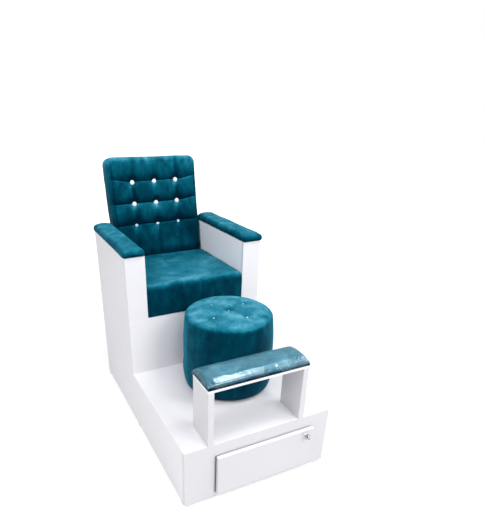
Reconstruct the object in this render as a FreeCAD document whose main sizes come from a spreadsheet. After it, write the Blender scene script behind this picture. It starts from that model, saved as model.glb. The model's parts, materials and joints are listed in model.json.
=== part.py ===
import FreeCAD, Part
import math
import os
import re
from types import SimpleNamespace

import Sketcher
from FreeCAD import Rotation, Vector

# Pedicure bench: a boxed platform with a raised armchair at its rear, a padded arch footrest
# at its front edge, a storage door in its front and a loose round stool on its deck.
# Places are worked out from the left side, the front face and the floor, then moved so that
# the middle of the whole bench stands over the origin. Lengths are millimetres.

# Driving dimensions, one named value each
DIMENSIONS = {
    # Platform
    "width": 700,
    "depth": 1205,
    "board": 18,
    "deck_height": 294,
    "deck_length": 646,
    "riser_tall": 294,
    "deck_rail": 60,
    "foot_height": 12,
    "foot_radius": 34,
    "foot_taper": 6,
    "foot_inset": 30,
    # Storage compartment and its door
    "door_left": 141,
    "door_right": 88,
    "door_sill": 38,
    "door_top": 59,
    "door_board": 16,
    "door_overlap": 16,
    "door_round": 2,
    "compartment_depth": 380,
    # Continuous hinge
    "knuckle_radius": 2.2,
    "knuckle_room": 0.3,
    "hinge_sheet": 0.8,
    "hinge_leaf": 13,
    "hinge_inset": 2,
    "pin_radius": 1,
    "pin_fit": 0.05,
    "hinge_screw_inset": 4.5,
    "hinge_screw_length": 11,
    "hinge_screw_radius": 1.2,
    "hinge_screw_head": 2.3,
    "hinge_screw_head_height": 1,
    # Knob and magnetic catch
    "knob_inset": 47,
    "knob_drop": 20,
    "knob_plate_radius": 9,
    "knob_plate": 3,
    "knob_neck_radius": 4.5,
    "knob_neck": 4,
    "knob_radius": 13,
    "knob_length": 24,
    "knob_screw_radius": 2,
    "knob_screw_head": 4,
    "knob_screw_head_height": 2,
    "knob_screw_bite": 5,
    "magnet_radius": 4,
    "magnet_depth": 12,
    "magnet_head_radius": 6,
    "magnet_gap": 0.4,
    "strike_radius": 6.5,
    "strike_plate": 1.2,
    # Arms
    "arm_width": 95,
    "arm_tall": 306,
    "pad_thickness": 34,
    "pad_lip": 11,
    "pad_lip_inner": 3,
    "pad_lip_rear": 15,
    "pad_corner_rear": 45,
    "pad_corner_front": 12,
    # Seat
    "seat_gap": 1,
    "seat_rail": 60,
    "seat_board": 12,
    "seat_rear_room": 27,
    "seat_front_foam": 15,
    "seat_tall": 150,
    "seat_rear_drop": 2,
    "seat_crown": 10,
    "seat_nose": 26,
    "seat_bulge": 4,
    "seat_side_drop": 5,
    "seat_side_round": 14,
    "soft_gap": 0.3,
    "cut_overrun": 10,
    # Back
    "back_inset": 88,
    "back_lift": 76,
    "back_tilt": 9,
    "back_side_gap": 8,
    "back_height": 594,
    "back_foam": 76,
    "back_board": 15,
    "back_cover": 3,
    "back_corner": 38,
    "back_edge": 30,
    "tuft_lowest": 247,
    "tuft_top": 125,
    "tuft_depth": 15,
    "tuft_seam": 5,
    "button_radius": 12,
    "button_height": 8,
    "button_seat": 3,
    "block_width": 30,
    "block_depth": 46,
    "block_height": 190,
    "block_drop": 20,
    "block_inset": 3,
    "bolt_radius": 4,
    "bolt_head": 6.5,
    "bolt_head_height": 5,
    "bolt_low": 20,
    "bolt_top": 50,
    "bolt_inset": 14,
    # Arch footrest
    "arch_left": 104,
    "arch_right": 139,
    "arch_depth": 140,
    "arch_height": 267,
    "arch_leg": 25,
    "arch_board": 16,
    "arch_pad_lip": 1,
    "arch_pad_hem": 5,
    "arch_pad_crown": 33,
    "arch_end_round": 34,
    "film": 0.6,
    "film_hem": 5,
    "leg_screw_inset": 35,
    "leg_screw_radius": 2.5,
    "leg_screw_bite": 40,
    "leg_screw_head": 5,
    "leg_screw_head_height": 3,
    # Stool
    "stool_offset": 54,
    "stool_front_gap": 60,
    "stool_rear_gap": 28,
    "stool_foot_slim": 16,
    "stool_shoulder_slim": 11,
    "stool_height": 368,
    "stool_rim": 20,
    "stool_crown": 8,
    "stool_padding": 37,
    "stool_core_wall": 8,
    "stool_board": 12,
    "stool_pad": 48,
    "stool_hem": 3,
    "glide_radius": 14,
    "glide_height": 5,
    "glide_inset": 30,
    "stool_tuft_turn": 23,
    "stool_tuft_depth": 8,
    "stool_tuft_radius": 26,
    "stool_button_radius": 6.5,
    "stool_button_height": 5,
}

# Counts and shares
KNUCKLES = 7
HINGE_SCREWS = 3
TUFT_COLUMNS = 3
TUFT_ROWS = 3
STOOL_TUFTS = 4
STOOL_GLIDES = 4
GEM_SIDES = 8
CORE_SIDES = 8
DRUM_SIDES = 48
BOLT_HEAD_SIDES = 6
SHANK_SIDES = 12
SAME_PLACE = 1e-5
LEG_SCREWS = 2
BUTTON_RADIUS_SHARES = (1, 1, 0.75, 0.42)
BUTTON_HEIGHT_SHARES = (0, 0.25, 0.72, 1)
KNOB_RADIUS_SHARES = (0.42, 0.82, 1, 1, 0.78, 0.42)
KNOB_HEIGHT_SHARES = (0, 0.2, 0.42, 0.58, 0.82, 1)
PAD_RISE_SHARES = (0, 0.4, 0.8, 1)
PAD_INSET_SHARES = (0.02, 0, 0.07, 0.32)
PAD_CORNER_SHARE = 1.7
QUARTER_ARC_SHARE = 1 - math.sqrt(0.5)
SIDE_STEP_SHARES = (0, 0.15, 0.45, 1)
EDGE_FULLNESS_SHARE = 0.15
STOOL_SIDE_SHARES = (0, 0.33, 0.67, 1)
STOOL_RIM_SHARES = (0.5, 1)
PUFF_SHARES = (0.1, 0.3, 0.7, 0.9)
PUFF_DEPTH_SHARES = (0.52, 0.14, 0.14, 0.52)
DOME_SHARES = (0.06, 0.17, 0.32, 0.5, 0.68, 0.83, 0.94)
DOME_RISE_SHARES = (0.23, 0.56, 0.87, 1, 0.87, 0.56, 0.23)

# How far the bench reaches forwards and backwards of the front face
FRONT_REACH = "(-door_gap - door_board - knob_plate - knob_neck - knob_length)"
REAR_REACH = ("(back_front + (back_foam + back_board + back_cover) * cos(back_tilt)"
              " + (back_height - back_cover) * sin(back_tilt))")

# Sizes that follow from the driving dimensions, by name
DERIVED = {
    "door_gap": "(2 * knuckle_radius + 2 * knuckle_room)",
    "hinge_x": "(door_left - knuckle_radius - 2 * knuckle_room)",
    "hinge_height": "(door_height - 2 * hinge_inset)",
    "opening_left": "(door_left + door_overlap)",
    "opening_right": "(door_left + door_width - door_overlap)",
    "opening_sill": "(door_sill + door_overlap)",
    "opening_top": "(door_sill + door_height - door_overlap)",
    "arch_top": "(deck_height + arch_height)",
    "riser_height": "(deck_height + riser_tall)",
    "door_width": "(width - door_left - door_right)",
    "door_height": "(deck_height - door_sill - door_top)",
    "arch_width": "(width - arch_left - arch_right)",
    "arm_height": "(riser_height + arm_tall)",
    "seat_height": "(riser_height + seat_tall)",
    "seat_frame_front": "(deck_length + seat_front_foam)",
    "seat_frame_depth": "(back_front - seat_frame_front - seat_rear_room)",
    "back_front": "(depth - back_inset)",
    "back_base": "(riser_height + back_lift)",
    "back_width": "(width - 2 * arm_width - 2 * back_side_gap)",
    "tuft_pitch_across": "(back_width / 4)",
    "tuft_pitch_up": "((back_height - tuft_lowest - tuft_top) / 2)",
    "bolt_high": "(block_height - block_drop - bolt_top)",
    "stool_belly_radius": ("((deck_length - arch_depth - stool_front_gap"
                           " - stool_rear_gap) / 2)"),
    "stool_foot_radius": "(stool_belly_radius - stool_foot_slim)",
    "stool_shoulder_radius": "(stool_belly_radius - stool_shoulder_slim)",
    "stool_core_radius": "(stool_belly_radius - stool_padding)",
    "stool_tuft_circle": "(stool_belly_radius / 2)",
    "stool_x": "(width / 2 + stool_offset)",
    "stool_y": "(deck_length - stool_rear_gap - stool_belly_radius)",
    "back_skirt": ("((back_base - riser_height - (back_foam + back_board + back_cover)"
                   " * sin(back_tilt)) / cos(back_tilt))"),
    "middle_y": "((%s + %s) / 2)" % (FRONT_REACH, REAR_REACH),
}

doc = FreeCAD.newDocument("pedicure_bench")
sheet = doc.addObject("Spreadsheet::Sheet", "Dims")
for row, (name, value) in enumerate(DIMENSIONS.items(), start=1):
    sheet.set("A%d" % row, name)
    sheet.set("B%d" % row, str(value))
    sheet.setAlias("B%d" % row, name)
doc.recompute()

pieces = []


def bound(text):
    """Spell an expression out in cells of the sheet."""
    text = str(text)
    while any(re.search(r"\b%s\b" % word, text) for word in DERIVED):
        for word, meaning in DERIVED.items():
            text = re.sub(r"\b%s\b" % word, meaning, text)
    return re.sub(r"[a-z_]+", lambda word: "Dims." + word.group(0)
                  if word.group(0) in DIMENSIONS else word.group(0), text)


def bind(obj, **sizes):
    """Bind properties of an object to expressions of the named dimensions."""
    for key, text in sizes.items():
        obj.setExpression(key, bound(text))


def place(obj, x, y, z, axis=None, angle="0"):
    """Put an object at a place measured from the left side, the front face and the floor."""
    obj.setExpression("Placement.Base.x", bound("(%s) - width / 2" % x))
    obj.setExpression("Placement.Base.y", bound("(%s) - middle_y" % y))
    obj.setExpression("Placement.Base.z", bound("(%s)" % z))
    if axis is not None:
        for letter, part in zip("xyz", axis):
            obj.setExpression("Placement.Rotation.Axis." + letter, str(part))
        obj.setExpression("Placement.Rotation.Angle", bound(angle))
    return obj


def place_on_back(obj, x, y, z):
    """Put an object at a place on the leaning back, from the foot of its front middle."""
    return place(obj, "width / 2 + (%s)" % x,
                 "back_front + (%s) * cos(back_tilt) + (%s) * sin(back_tilt)" % (y, z),
                 "back_base - (%s) * sin(back_tilt) + (%s) * cos(back_tilt)" % (y, z),
                 (1, 0, 0), "-back_tilt")


def keep(obj, label):
    """Name a finished sub-part and list it for writing."""
    obj.Label = label
    pieces.append(obj)
    return obj


def box(length, width, height):
    """Make a plain board of three bound sizes."""
    obj = doc.addObject("Part::Box", "Board")
    bind(obj, Length=length, Width=width, Height=height)
    return obj


def board(label, at, size):
    """Make a finished board at a place of the bench."""
    return keep(place(box(*size), *at), label)


def prism(sides, radius, height):
    """Make a bar with flat sides along its own Z axis."""
    obj = doc.addObject("Part::Prism", "Prism")
    obj.Polygon = sides
    bind(obj, Circumradius=radius, Height=height)
    return obj


def shank_of(radius, height):
    """Make the flat-sided shank of a fastener along its own Z axis."""
    return prism(SHANK_SIDES, radius, height)


def rod(radius, height):
    """Make a round bar along its own Z axis."""
    obj = doc.addObject("Part::Cylinder", "Rod")
    bind(obj, Radius=radius, Height=height)
    return obj


def fused(tools):
    """Join solids that touch into one object, or leave them as separate solids if they don't."""
    obj = doc.addObject("Part::MultiFuse", "Joined")
    obj.Shapes = tools
    return obj


def group(label, members):
    """List repeated small pieces as one sub-part of separate solids."""
    obj = doc.addObject("Part::Compound", "Group")
    obj.Links = members
    return keep(obj, label)


def drilled(base, tools):
    """Cut the shapes of fasteners out of a piece."""
    obj = doc.addObject("Part::Cut", "Drilled")
    obj.Base = base
    obj.Tool = fused(tools) if len(tools) > 1 else tools[0]
    return obj


def set_shape(shape):
    """Hold a shape made with the geometry functions."""
    obj = doc.addObject("Part::Feature", "Form")
    obj.Shape = shape
    return obj


def new_body():
    """Start a body for sketched features."""
    return doc.addObject("PartDesign::Body", "Body")


def plane(body, role):
    """Find one of a body's own origin planes or axes."""
    return [item for item in body.Origin.OriginFeatures if item.Role == role][0]


def sketch_on(body, role):
    """Attach a new sketch to a body's origin plane."""
    sketch = body.newObject("Sketcher::SketchObject", "Sketch")
    sketch.AttachmentSupport = (plane(body, role), [""])
    sketch.MapMode = "FlatFace"
    return sketch


def pin_point(sketch, edge, end, first, second):
    """Bind a point of a sketch to two expressions measured from the sketch's origin."""
    for kind, text in (("DistanceX", first), ("DistanceY", second)):
        if text == "0":
            axis = -2 if kind == "DistanceX" else -1
            sketch.addConstraint(Sketcher.Constraint("PointOnObject", edge, end, axis))
        else:
            value = 1.0 + edge
            index = sketch.addConstraint(Sketcher.Constraint(kind, -1, 1, edge, end, value))
            sketch.setExpression("Constraints[%d]" % index, bound(text))


def draw_outline(sketch, points):
    """Draw a closed outline of straight lines through bound points."""
    first = sketch.GeometryCount
    count = len(points)
    for step in range(count):
        turn = 2 * math.pi * step / count
        after = 2 * math.pi * (step + 1) / count
        start = Vector(math.cos(turn), math.sin(turn), 0)
        stop = Vector(math.cos(after), math.sin(after), 0)
        sketch.addGeometry(Part.LineSegment(start, stop), False)
    for step in range(count):
        joined = (first + step, 2, first + (step + 1) % count, 1)
        sketch.addConstraint(Sketcher.Constraint("Coincident", *joined))
    for step, (across, up) in enumerate(points):
        pin_point(sketch, first + step, 1, across, up)


def draw_rectangle(sketch, left, low, right, high):
    """Draw a rectangle between four bound lines."""
    draw_outline(sketch, [(left, low), (right, low), (right, high), (left, high)])


def draw_circle(sketch, radius):
    """Draw a circle of a bound radius round the sketch's origin."""
    edge = sketch.addGeometry(Part.Circle(Vector(), Vector(0, 0, 1), 1), False)
    sketch.addConstraint(Sketcher.Constraint("Coincident", edge, 3, -1, 1))
    index = sketch.addConstraint(Sketcher.Constraint("Radius", edge, 1))
    sketch.setExpression("Constraints[%d]" % index, bound(radius))


def pad(body, sketch, length, backwards=False):
    """Raise a sketch into a solid of a bound length."""
    feature = body.newObject("PartDesign::Pad", "Pad")
    feature.Profile = sketch
    feature.Reversed = backwards
    bind(feature, Length=length)
    body.Tip = feature
    return feature


def edges_near(shape, axis, place_of_face):
    """Name the edges that lie in one plane square to an axis."""
    names = []
    for number, edge in enumerate(shape.Edges, start=1):
        spots = [vertex.Point[axis] for vertex in edge.Vertexes]
        if all(math.isclose(spot, place_of_face, abs_tol=SAME_PLACE) for spot in spots):
            names.append("Edge%d" % number)
    return names


def outline_wire(start, steps):
    """Join lines and arcs: a step is an end point, or a middle and an end point of an arc."""
    edges = []
    here = start
    for step in steps:
        if isinstance(step, tuple):
            middle, end = step
            edges.append(Part.Arc(here, middle, end).toShape())
        else:
            end = step
            edges.append(Part.makeLine(here, end))
        here = end
    return Part.Wire(edges)


def fullness(share):
    """How much of its crown a soft form has at a share of the way in from its side."""
    return EDGE_FULLNESS_SHARE + (1 - EDGE_FULLNESS_SHARE) * math.sqrt(1 - (1 - share) ** 2)


def ring_points(sides, radius, up=0):
    """Corners of a flat-sided ring."""
    turns = [2 * math.pi * step / sides for step in range(sides)]
    return [Vector(radius * math.cos(turn), radius * math.sin(turn), up) for turn in turns]


def faceted(sides, rings):
    """Close flat facets round a stack of rings, each given by its radius and height."""
    rings = [ring_points(sides, radius, up) for radius, up in rings]
    facets = [rings[0], rings[-1]]
    for low, high in zip(rings[:-1], rings[1:]):
        for step in range(sides):
            after = (step + 1) % sides
            facets.append([low[step], low[after], high[after], high[step]])
    faces = [Part.Face(Part.makePolygon(corners + corners[:1])) for corners in facets]
    return Part.Solid(Part.Shell(faces))


def gem(radius, height, radius_shares, height_shares):
    """Build a cut stone with its flat back on the XY plane."""
    return faceted(GEM_SIDES, [(radius * across, height * up)
                               for across, up in zip(radius_shares, height_shares)])


# Sizes read back from the sheet, for shapes made with the geometry functions
d = SimpleNamespace(**{name: float(sheet.evalExpression(bound(name)))
                       for name in [*DIMENSIONS, *DERIVED]})


# Platform
def make_side_panel(label, x):
    """A side of the base and riser, cut from one board with a step in it."""
    body = new_body()
    sketch = sketch_on(body, "YZ_Plane")
    draw_outline(sketch, [("board", "foot_height"), ("depth", "foot_height"),
                          ("depth", "riser_height"), ("deck_length", "riser_height"),
                          ("deck_length", "deck_height"), ("board", "deck_height")])
    pad(body, sketch, "board")
    keep(place(body, x, "0", "0"), label)


def make_front_panel():
    """The front board with its door opening."""
    body = new_body()
    sketch = sketch_on(body, "XZ_Plane")
    draw_rectangle(sketch, "0", "foot_height", "width", "deck_height")
    draw_rectangle(sketch, "opening_left", "opening_sill", "opening_right", "opening_top")
    pad(body, sketch, "board", backwards=True)
    place(body, "0", "0", "0")
    return body


def make_platform_boards():
    """The flat boards of the base, the deck and the riser."""
    inside = "width - 2 * board"
    board("base_bottom_panel", ("board", "board", "foot_height"),
          (inside, "depth - 2 * board", "board"))
    board("base_back_panel", ("board", "depth - board", "foot_height"),
          (inside, "board", "riser_height - foot_height"))
    board("deck_rear_rail", ("board", "deck_length", "deck_height - board - deck_rail"),
          (inside, "board", "deck_rail"))
    board("riser_front_panel", ("board", "deck_length", "deck_height"),
          (inside, "board", "riser_height - deck_height"))
    board("riser_top_panel", ("board", "deck_length + board", "riser_height - board"),
          (inside, "depth - deck_length - 2 * board", "board"))


def make_compartment():
    """The three inner walls of the storage compartment behind the door."""
    floor = "foot_height + board"
    tall = "deck_height - foot_height - 2 * board"
    board("compartment_left_wall", ("opening_left - board", "board", floor),
          ("board", "compartment_depth + board", tall))
    board("compartment_right_wall", ("opening_right", "board", floor),
          ("board", "compartment_depth + board", tall))
    board("compartment_rear_wall", ("opening_left", "board + compartment_depth", floor),
          ("opening_right - opening_left", "board", tall))


def make_feet():
    """Six low eight-sided feet, narrower at the floor."""
    feet = []
    for x in ("foot_inset", "width - foot_inset"):
        for y in ("foot_inset", "depth / 2", "depth - foot_inset"):
            foot = set_shape(faceted(GEM_SIDES, [(d.foot_radius - d.foot_taper, 0),
                                                 (d.foot_radius, d.foot_height)]))
            feet.append(place(foot, x, y, "0"))
    group("feet", feet)


# Footrest
def make_leg_screws():
    """Hexagon-headed screws driven up through the deck into the footrest's legs."""
    screws = []
    for x in ("arch_left + arch_leg / 2", "arch_left + arch_width - arch_leg / 2"):
        for y in ("leg_screw_inset", "arch_depth - leg_screw_inset"):
            shank = place(shank_of("leg_screw_radius", "board + leg_screw_bite"),
                          x, y, "deck_height - board")
            head = place(prism(BOLT_HEAD_SIDES, "leg_screw_head", "leg_screw_head_height"),
                         x, y, "deck_height - board - leg_screw_head_height")
            screws.append(fused([shank, head]))
    group("footrest_leg_screws", screws)
    return screws


def make_deck(screws):
    """The deck board, drilled for the footrest's screws."""
    deck = place(box("width - 2 * board", "deck_length", "board"),
                 "board", "board", "deck_height - board")
    keep(drilled(deck, screws), "deck_panel")


def make_footrest(screws):
    """Two legs and a top board that stand in an arch on the deck."""
    for label, x in (("footrest_left_leg", "arch_left"),
                     ("footrest_right_leg", "arch_left + arch_width - arch_leg")):
        leg = place(box("arch_leg", "arch_depth", "arch_height - arch_board"),
                    x, "0", "deck_height")
        near = screws[:LEG_SCREWS] if x == "arch_left" else screws[LEG_SCREWS:]
        keep(drilled(leg, near), label)
    board("footrest_top_board", ("arch_left", "0", "arch_top - arch_board"),
          ("arch_width", "arch_depth", "arch_board"))


def footrest_dome(margin, low):
    """Loft the footrest pad's domed form, grown by a margin, down to a low edge."""
    front = -d.arch_pad_lip - margin
    rear = d.arch_depth + d.arch_pad_lip + margin
    half = d.arch_width / 2 + d.arch_pad_lip + margin
    outlines = []
    for side in (-1, 1):
        for share in sorted(SIDE_STEP_SHARES, reverse=side > 0):
            x = side * (half - share * d.arch_end_round)
            full = fullness(share)
            crown = d.arch_pad_hem + margin + full * d.arch_pad_crown
            hem = d.arch_pad_hem * (1 + full) / 2 + margin
            outline = [Vector(x, front, low), Vector(x, front, hem)]
            for along, rise in zip(DOME_SHARES, DOME_RISE_SHARES):
                outline.append(Vector(x, front + along * (rear - front), hem + rise * crown))
            outline += [Vector(x, rear, hem), Vector(x, rear, low), Vector(x, front, low)]
            outlines.append(Part.makePolygon(outline))
    return Part.makeLoft(outlines, True, True)


def make_footrest_pad():
    """The domed pad on the arch and the clear film that is stretched over it."""
    middle = "arch_left + arch_width / 2"
    form = set_shape(footrest_dome(0, d.soft_gap))
    keep(place(form, middle, "0", "arch_top"), "footrest_pad")
    outer = footrest_dome(d.soft_gap + d.film, -d.film_hem)
    inner = footrest_dome(d.soft_gap, -d.film_hem - d.film)
    cover = set_shape(outer.cut(inner))
    keep(place(cover, middle, "0", "arch_top"), "footrest_film_cover")


# Door
def make_hinge_leaf(front_side, first, count):
    """One leaf of the continuous hinge with every second knuckle, round its own pin axis."""
    side = "-1" if front_side else "1"
    body = new_body()
    pitch = "(hinge_height / %d)" % KNUCKLES
    near = "(knuckle_radius + 2 * knuckle_room)"
    inner_face = "%s * (knuckle_radius + knuckle_room - hinge_sheet)" % side
    outer_face = "%s * (knuckle_radius + knuckle_room)" % side
    plate = sketch_on(body, "XY_Plane")
    draw_rectangle(plate, near, inner_face, "hinge_leaf", outer_face)
    pad(body, plate, "hinge_height")
    start = "%d * %s + knuckle_room / 2" % (first, pitch)
    tall = "%s - knuckle_room" % pitch
    tab = sketch_on(body, "XY_Plane")
    draw_rectangle(tab, "0", inner_face, near, outer_face)
    tab_pad = pad(body, tab, tall)
    ring = sketch_on(body, "XY_Plane")
    draw_circle(ring, "knuckle_radius")
    draw_circle(ring, "pin_radius + pin_fit")
    ring_pad = pad(body, ring, tall)
    for sketch in (tab, ring):
        sketch.setExpression("AttachmentOffset.Base.z", bound(start))
    pattern = body.newObject("PartDesign::LinearPattern", "Pattern")
    pattern.Originals = [tab_pad, ring_pad]
    pattern.Direction = (plane(body, "Z_Axis"), [""])
    pattern.Occurrences = count
    bind(pattern, Length="%d * %s" % (2 * (count - 1), pitch))
    body.Tip = pattern
    place(body, "hinge_x", "-door_gap / 2", "door_sill + hinge_inset")
    return body


def make_hinge_screws(label, face, direction):
    """A row of small screws through a hinge leaf, with their heads in the gap."""
    screws = []
    for step in range(HINGE_SCREWS):
        up = "door_sill + hinge_inset + hinge_height * %d / %d" % (2 * step + 1, 2 * HINGE_SCREWS)
        x = "hinge_x + hinge_leaf - hinge_screw_inset"
        turn = "%d * 90" % -direction
        head_y = "%s - %d * hinge_sheet" % (face, direction)
        shank = place(shank_of("hinge_screw_radius", "hinge_screw_length + hinge_sheet"),
                      x, head_y, up, (1, 0, 0), turn)
        head = place(shank_of("hinge_screw_head", "hinge_screw_head_height"),
                     x, "%s - %d * hinge_screw_head_height" % (head_y, direction), up,
                     (1, 0, 0), turn)
        screws.append(fused([shank, head]))
    group(label, screws)
    return screws


def make_hinge():
    """The continuous hinge: a leaf on the front panel, a leaf on the door and the pin."""
    fixed_count = (KNUCKLES + 1) // 2
    fixed = make_hinge_leaf(False, 0, fixed_count)
    moving = make_hinge_leaf(True, 1, KNUCKLES - fixed_count)
    fixed_screws = make_hinge_screws("hinge_fixed_screws", "0", 1)
    door_screws = make_hinge_screws("hinge_door_screws", "-door_gap", -1)
    keep(drilled(fixed, fixed_screws), "hinge_fixed_leaf")
    keep(drilled(moving, door_screws), "hinge_door_leaf")
    keep(place(rod("pin_radius", "hinge_height"), "hinge_x", "-door_gap / 2",
               "door_sill + hinge_inset"), "hinge_pin")
    return fixed_screws, door_screws


def make_catch():
    """The flanged magnet pressed into the front panel and the strike plate on the door."""
    x = "opening_right + door_overlap / 2"
    z = "door_sill + door_height / 2"
    head = "(door_gap - magnet_gap - strike_plate)"
    stem = place(shank_of("magnet_radius", "magnet_depth"), x, "0", z, (1, 0, 0), "-90")
    flange = place(rod("magnet_head_radius", head), x, "0", z, (1, 0, 0), "90")
    keep(fused([stem, flange]), "catch_magnet")
    keep(place(rod("strike_radius", "strike_plate"), x, "-door_gap", z, (1, 0, 0), "-90"),
         "catch_strike_plate")
    return stem


def make_knob():
    """The cut crystal knob, its metal plate and neck, and the screw through the door."""
    x = "door_left + door_width - knob_inset"
    z = "door_sill + door_height - knob_drop"
    face = "-door_gap - door_board"
    plate = place(rod("knob_plate_radius", "knob_plate"), x, face, z, (1, 0, 0), "90")
    neck = place(rod("knob_neck_radius", "knob_neck"), x, face + " - knob_plate", z,
                 (1, 0, 0), "90")
    shank = place(shank_of("knob_screw_radius", "door_board + knob_screw_bite"), x,
                  face + " - knob_screw_bite", z, (1, 0, 0), "-90")
    head = place(rod("knob_screw_head", "knob_screw_head_height"), x, "-door_gap", z,
                 (1, 0, 0), "-90")
    keep(drilled(fused([plate, neck]), [shank]), "knob_base")
    keep(fused([shank, head]), "knob_screw")
    stone = set_shape(gem(d.knob_radius, d.knob_length, KNOB_RADIUS_SHARES, KNOB_HEIGHT_SHARES))
    keep(place(stone, x, face + " - knob_plate - knob_neck", z, (1, 0, 0), "90"),
         "knob_crystal")
    return shank


def make_door(screws, knob_shank):
    """The flat door with softened front edges, drilled for its fasteners."""
    body = new_body()
    sketch = sketch_on(body, "XZ_Plane")
    draw_rectangle(sketch, "0", "0", "door_width", "door_height")
    raised = pad(body, sketch, "door_board")
    place(body, "door_left", "-door_gap", "door_sill")
    doc.recompute()
    rounding = body.newObject("PartDesign::Fillet", "Rounding")
    rounding.Base = (raised, edges_near(raised.Shape, 1, -d.door_board))
    bind(rounding, Radius="door_round")
    body.Tip = rounding
    keep(drilled(body, screws + [knob_shank]), "door_panel")


# Chair
def make_arm(side, left, outer, inner):
    """The five boards of one hollow arm."""
    tall = "arm_height - riser_height"
    long = "depth - deck_length - board"
    board("arm_%s_front_panel" % side, (left, "deck_length", "riser_height"),
          ("arm_width", "board", tall))
    board("arm_%s_outer_panel" % side, (outer, "deck_length + board", "riser_height"),
          ("board", long, tall))
    board("arm_%s_rear_panel" % side, (left + " + board", "depth - board", "riser_height"),
          ("arm_width - 2 * board", "board", tall))
    board("arm_%s_top_board" % side,
          (left + " + board", "deck_length + board", "arm_height - board"),
          ("arm_width - 2 * board", long + " - board", "board"))
    return place(box("board", long, tall), inner, "deck_length + board", "riser_height")


def pad_outline(share, up, outer_side):
    """The arm pad's outline at one height: straight sides, arcs at its four corners."""
    inset = share * d.arm_width
    lips = (d.pad_lip, d.pad_lip_inner)
    left = -lips[outer_side] + inset
    right = d.arm_width + lips[1 - outer_side] - inset
    front = -d.pad_lip + inset
    rear = d.depth - d.deck_length + d.pad_lip_rear - inset
    tight = d.pad_corner_front
    loose = d.pad_corner_rear * (1 - share * PAD_CORNER_SHARE)
    tight_arc = tight * QUARTER_ARC_SHARE
    loose_arc = loose * QUARTER_ARC_SHARE
    return outline_wire(Vector(left + tight, front, up), [
        Vector(right - tight, front, up),
        (Vector(right - tight_arc, front + tight_arc, up), Vector(right, front + tight, up)),
        Vector(right, rear - loose, up),
        (Vector(right - loose_arc, rear - loose_arc, up), Vector(right - loose, rear, up)),
        Vector(left + loose, rear, up),
        (Vector(left + loose_arc, rear - loose_arc, up), Vector(left, rear - loose, up)),
        Vector(left, front + tight, up),
        (Vector(left + tight_arc, front + tight_arc, up), Vector(left + tight, front, up))])


def make_arm_pad(label, left, outer_side):
    """The upholstered pad on an arm, drawn in at its foot and crowned on top."""
    outlines = []
    for rise, inset in zip(PAD_RISE_SHARES, PAD_INSET_SHARES):
        up = d.soft_gap + rise * (d.pad_thickness - d.soft_gap)
        outlines.append(pad_outline(inset, up, outer_side))
    form = set_shape(Part.makeLoft(outlines, True, True))
    keep(place(form, left, "deck_length", "arm_height"), label)


def make_seat_frame():
    """The box frame and board that carry the seat cushion."""
    left = "arm_width + seat_gap"
    wide = "width - 2 * arm_width - 2 * seat_gap"
    rear = "seat_frame_front + seat_frame_depth"
    board("seat_front_rail", (left, "seat_frame_front", "riser_height"),
          (wide, "board", "seat_rail"))
    board("seat_rear_rail", (left, rear + " - board", "riser_height"),
          (wide, "board", "seat_rail"))
    for side, x in (("left", left), ("right", "width - arm_width - seat_gap - board")):
        board("seat_%s_rail" % side, (x, "seat_frame_front + board", "riser_height"),
              ("board", "seat_frame_depth - 2 * board", "seat_rail"))
    board("seat_board", (left, "seat_frame_front", "riser_height + seat_rail"),
          (wide, "seat_frame_depth", "seat_board"))


def back_face(up):
    """How far back the backrest's front lies at a height, clear of the seat."""
    lean = math.tan(math.radians(d.back_tilt))
    return d.back_front + (up - d.back_base) * lean - d.seat_gap - d.deck_length


def seat_outline(x, share):
    """One lengthwise section of the seat, lower and slimmer towards its sides."""
    full = fullness(share)
    low = d.riser_height + d.soft_gap
    drop = d.seat_side_drop * (1 - full)
    front = d.seat_bulge * (1 - full)
    top = d.seat_height - drop
    nose = d.seat_nose
    nose_arc = nose * QUARTER_ARC_SHARE
    rear_top = top - d.seat_rear_drop
    rear_low = d.riser_height + d.seat_rail + d.seat_board + d.soft_gap
    crest = (top + rear_top) / 2 + d.seat_crown * full
    return outline_wire(Vector(x, front, low), [
        (Vector(x, front - d.seat_bulge * full, (low + top) / 2), Vector(x, front, top - nose)),
        (Vector(x, front + nose_arc, top - nose_arc), Vector(x, front + nose, top)),
        (Vector(x, (nose + back_face(rear_top)) / 2, crest),
         Vector(x, back_face(rear_top), rear_top)),
        Vector(x, back_face(rear_low), rear_low),
        Vector(x, back_face(rear_low), low),
        Vector(x, front, low)])


def make_seat_cushion():
    """The crowned seat cushion, whose upholstered front drops over the frame's front rail."""
    half = d.width / 2 - d.arm_width - d.seat_gap
    outlines = []
    for side in (-1, 1):
        for share in sorted(SIDE_STEP_SHARES, reverse=side > 0):
            outlines.append(seat_outline(side * (half - share * d.seat_side_round), share))
    form = Part.makeLoft(outlines, True, True)
    frame_top = d.riser_height + d.seat_rail + d.seat_board + d.soft_gap
    recess_front = d.seat_front_foam - d.soft_gap
    recess = Part.makeBox(2 * half + 2 * d.cut_overrun, d.depth, frame_top,
                          Vector(-half - d.cut_overrun, recess_front, 0))
    cushion = set_shape(form.cut(recess))
    keep(place(cushion, "width / 2", "deck_length", "0"), "seat_cushion")


def tuft_rows():
    """Heights of the button rows on the back."""
    return [d.tuft_lowest + row * d.tuft_pitch_up for row in range(TUFT_ROWS)]


def tuft_columns():
    """Places of the button columns across the back."""
    middle = (TUFT_COLUMNS - 1) / 2
    return [(column - middle) * d.tuft_pitch_across for column in range(TUFT_COLUMNS)]


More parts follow.
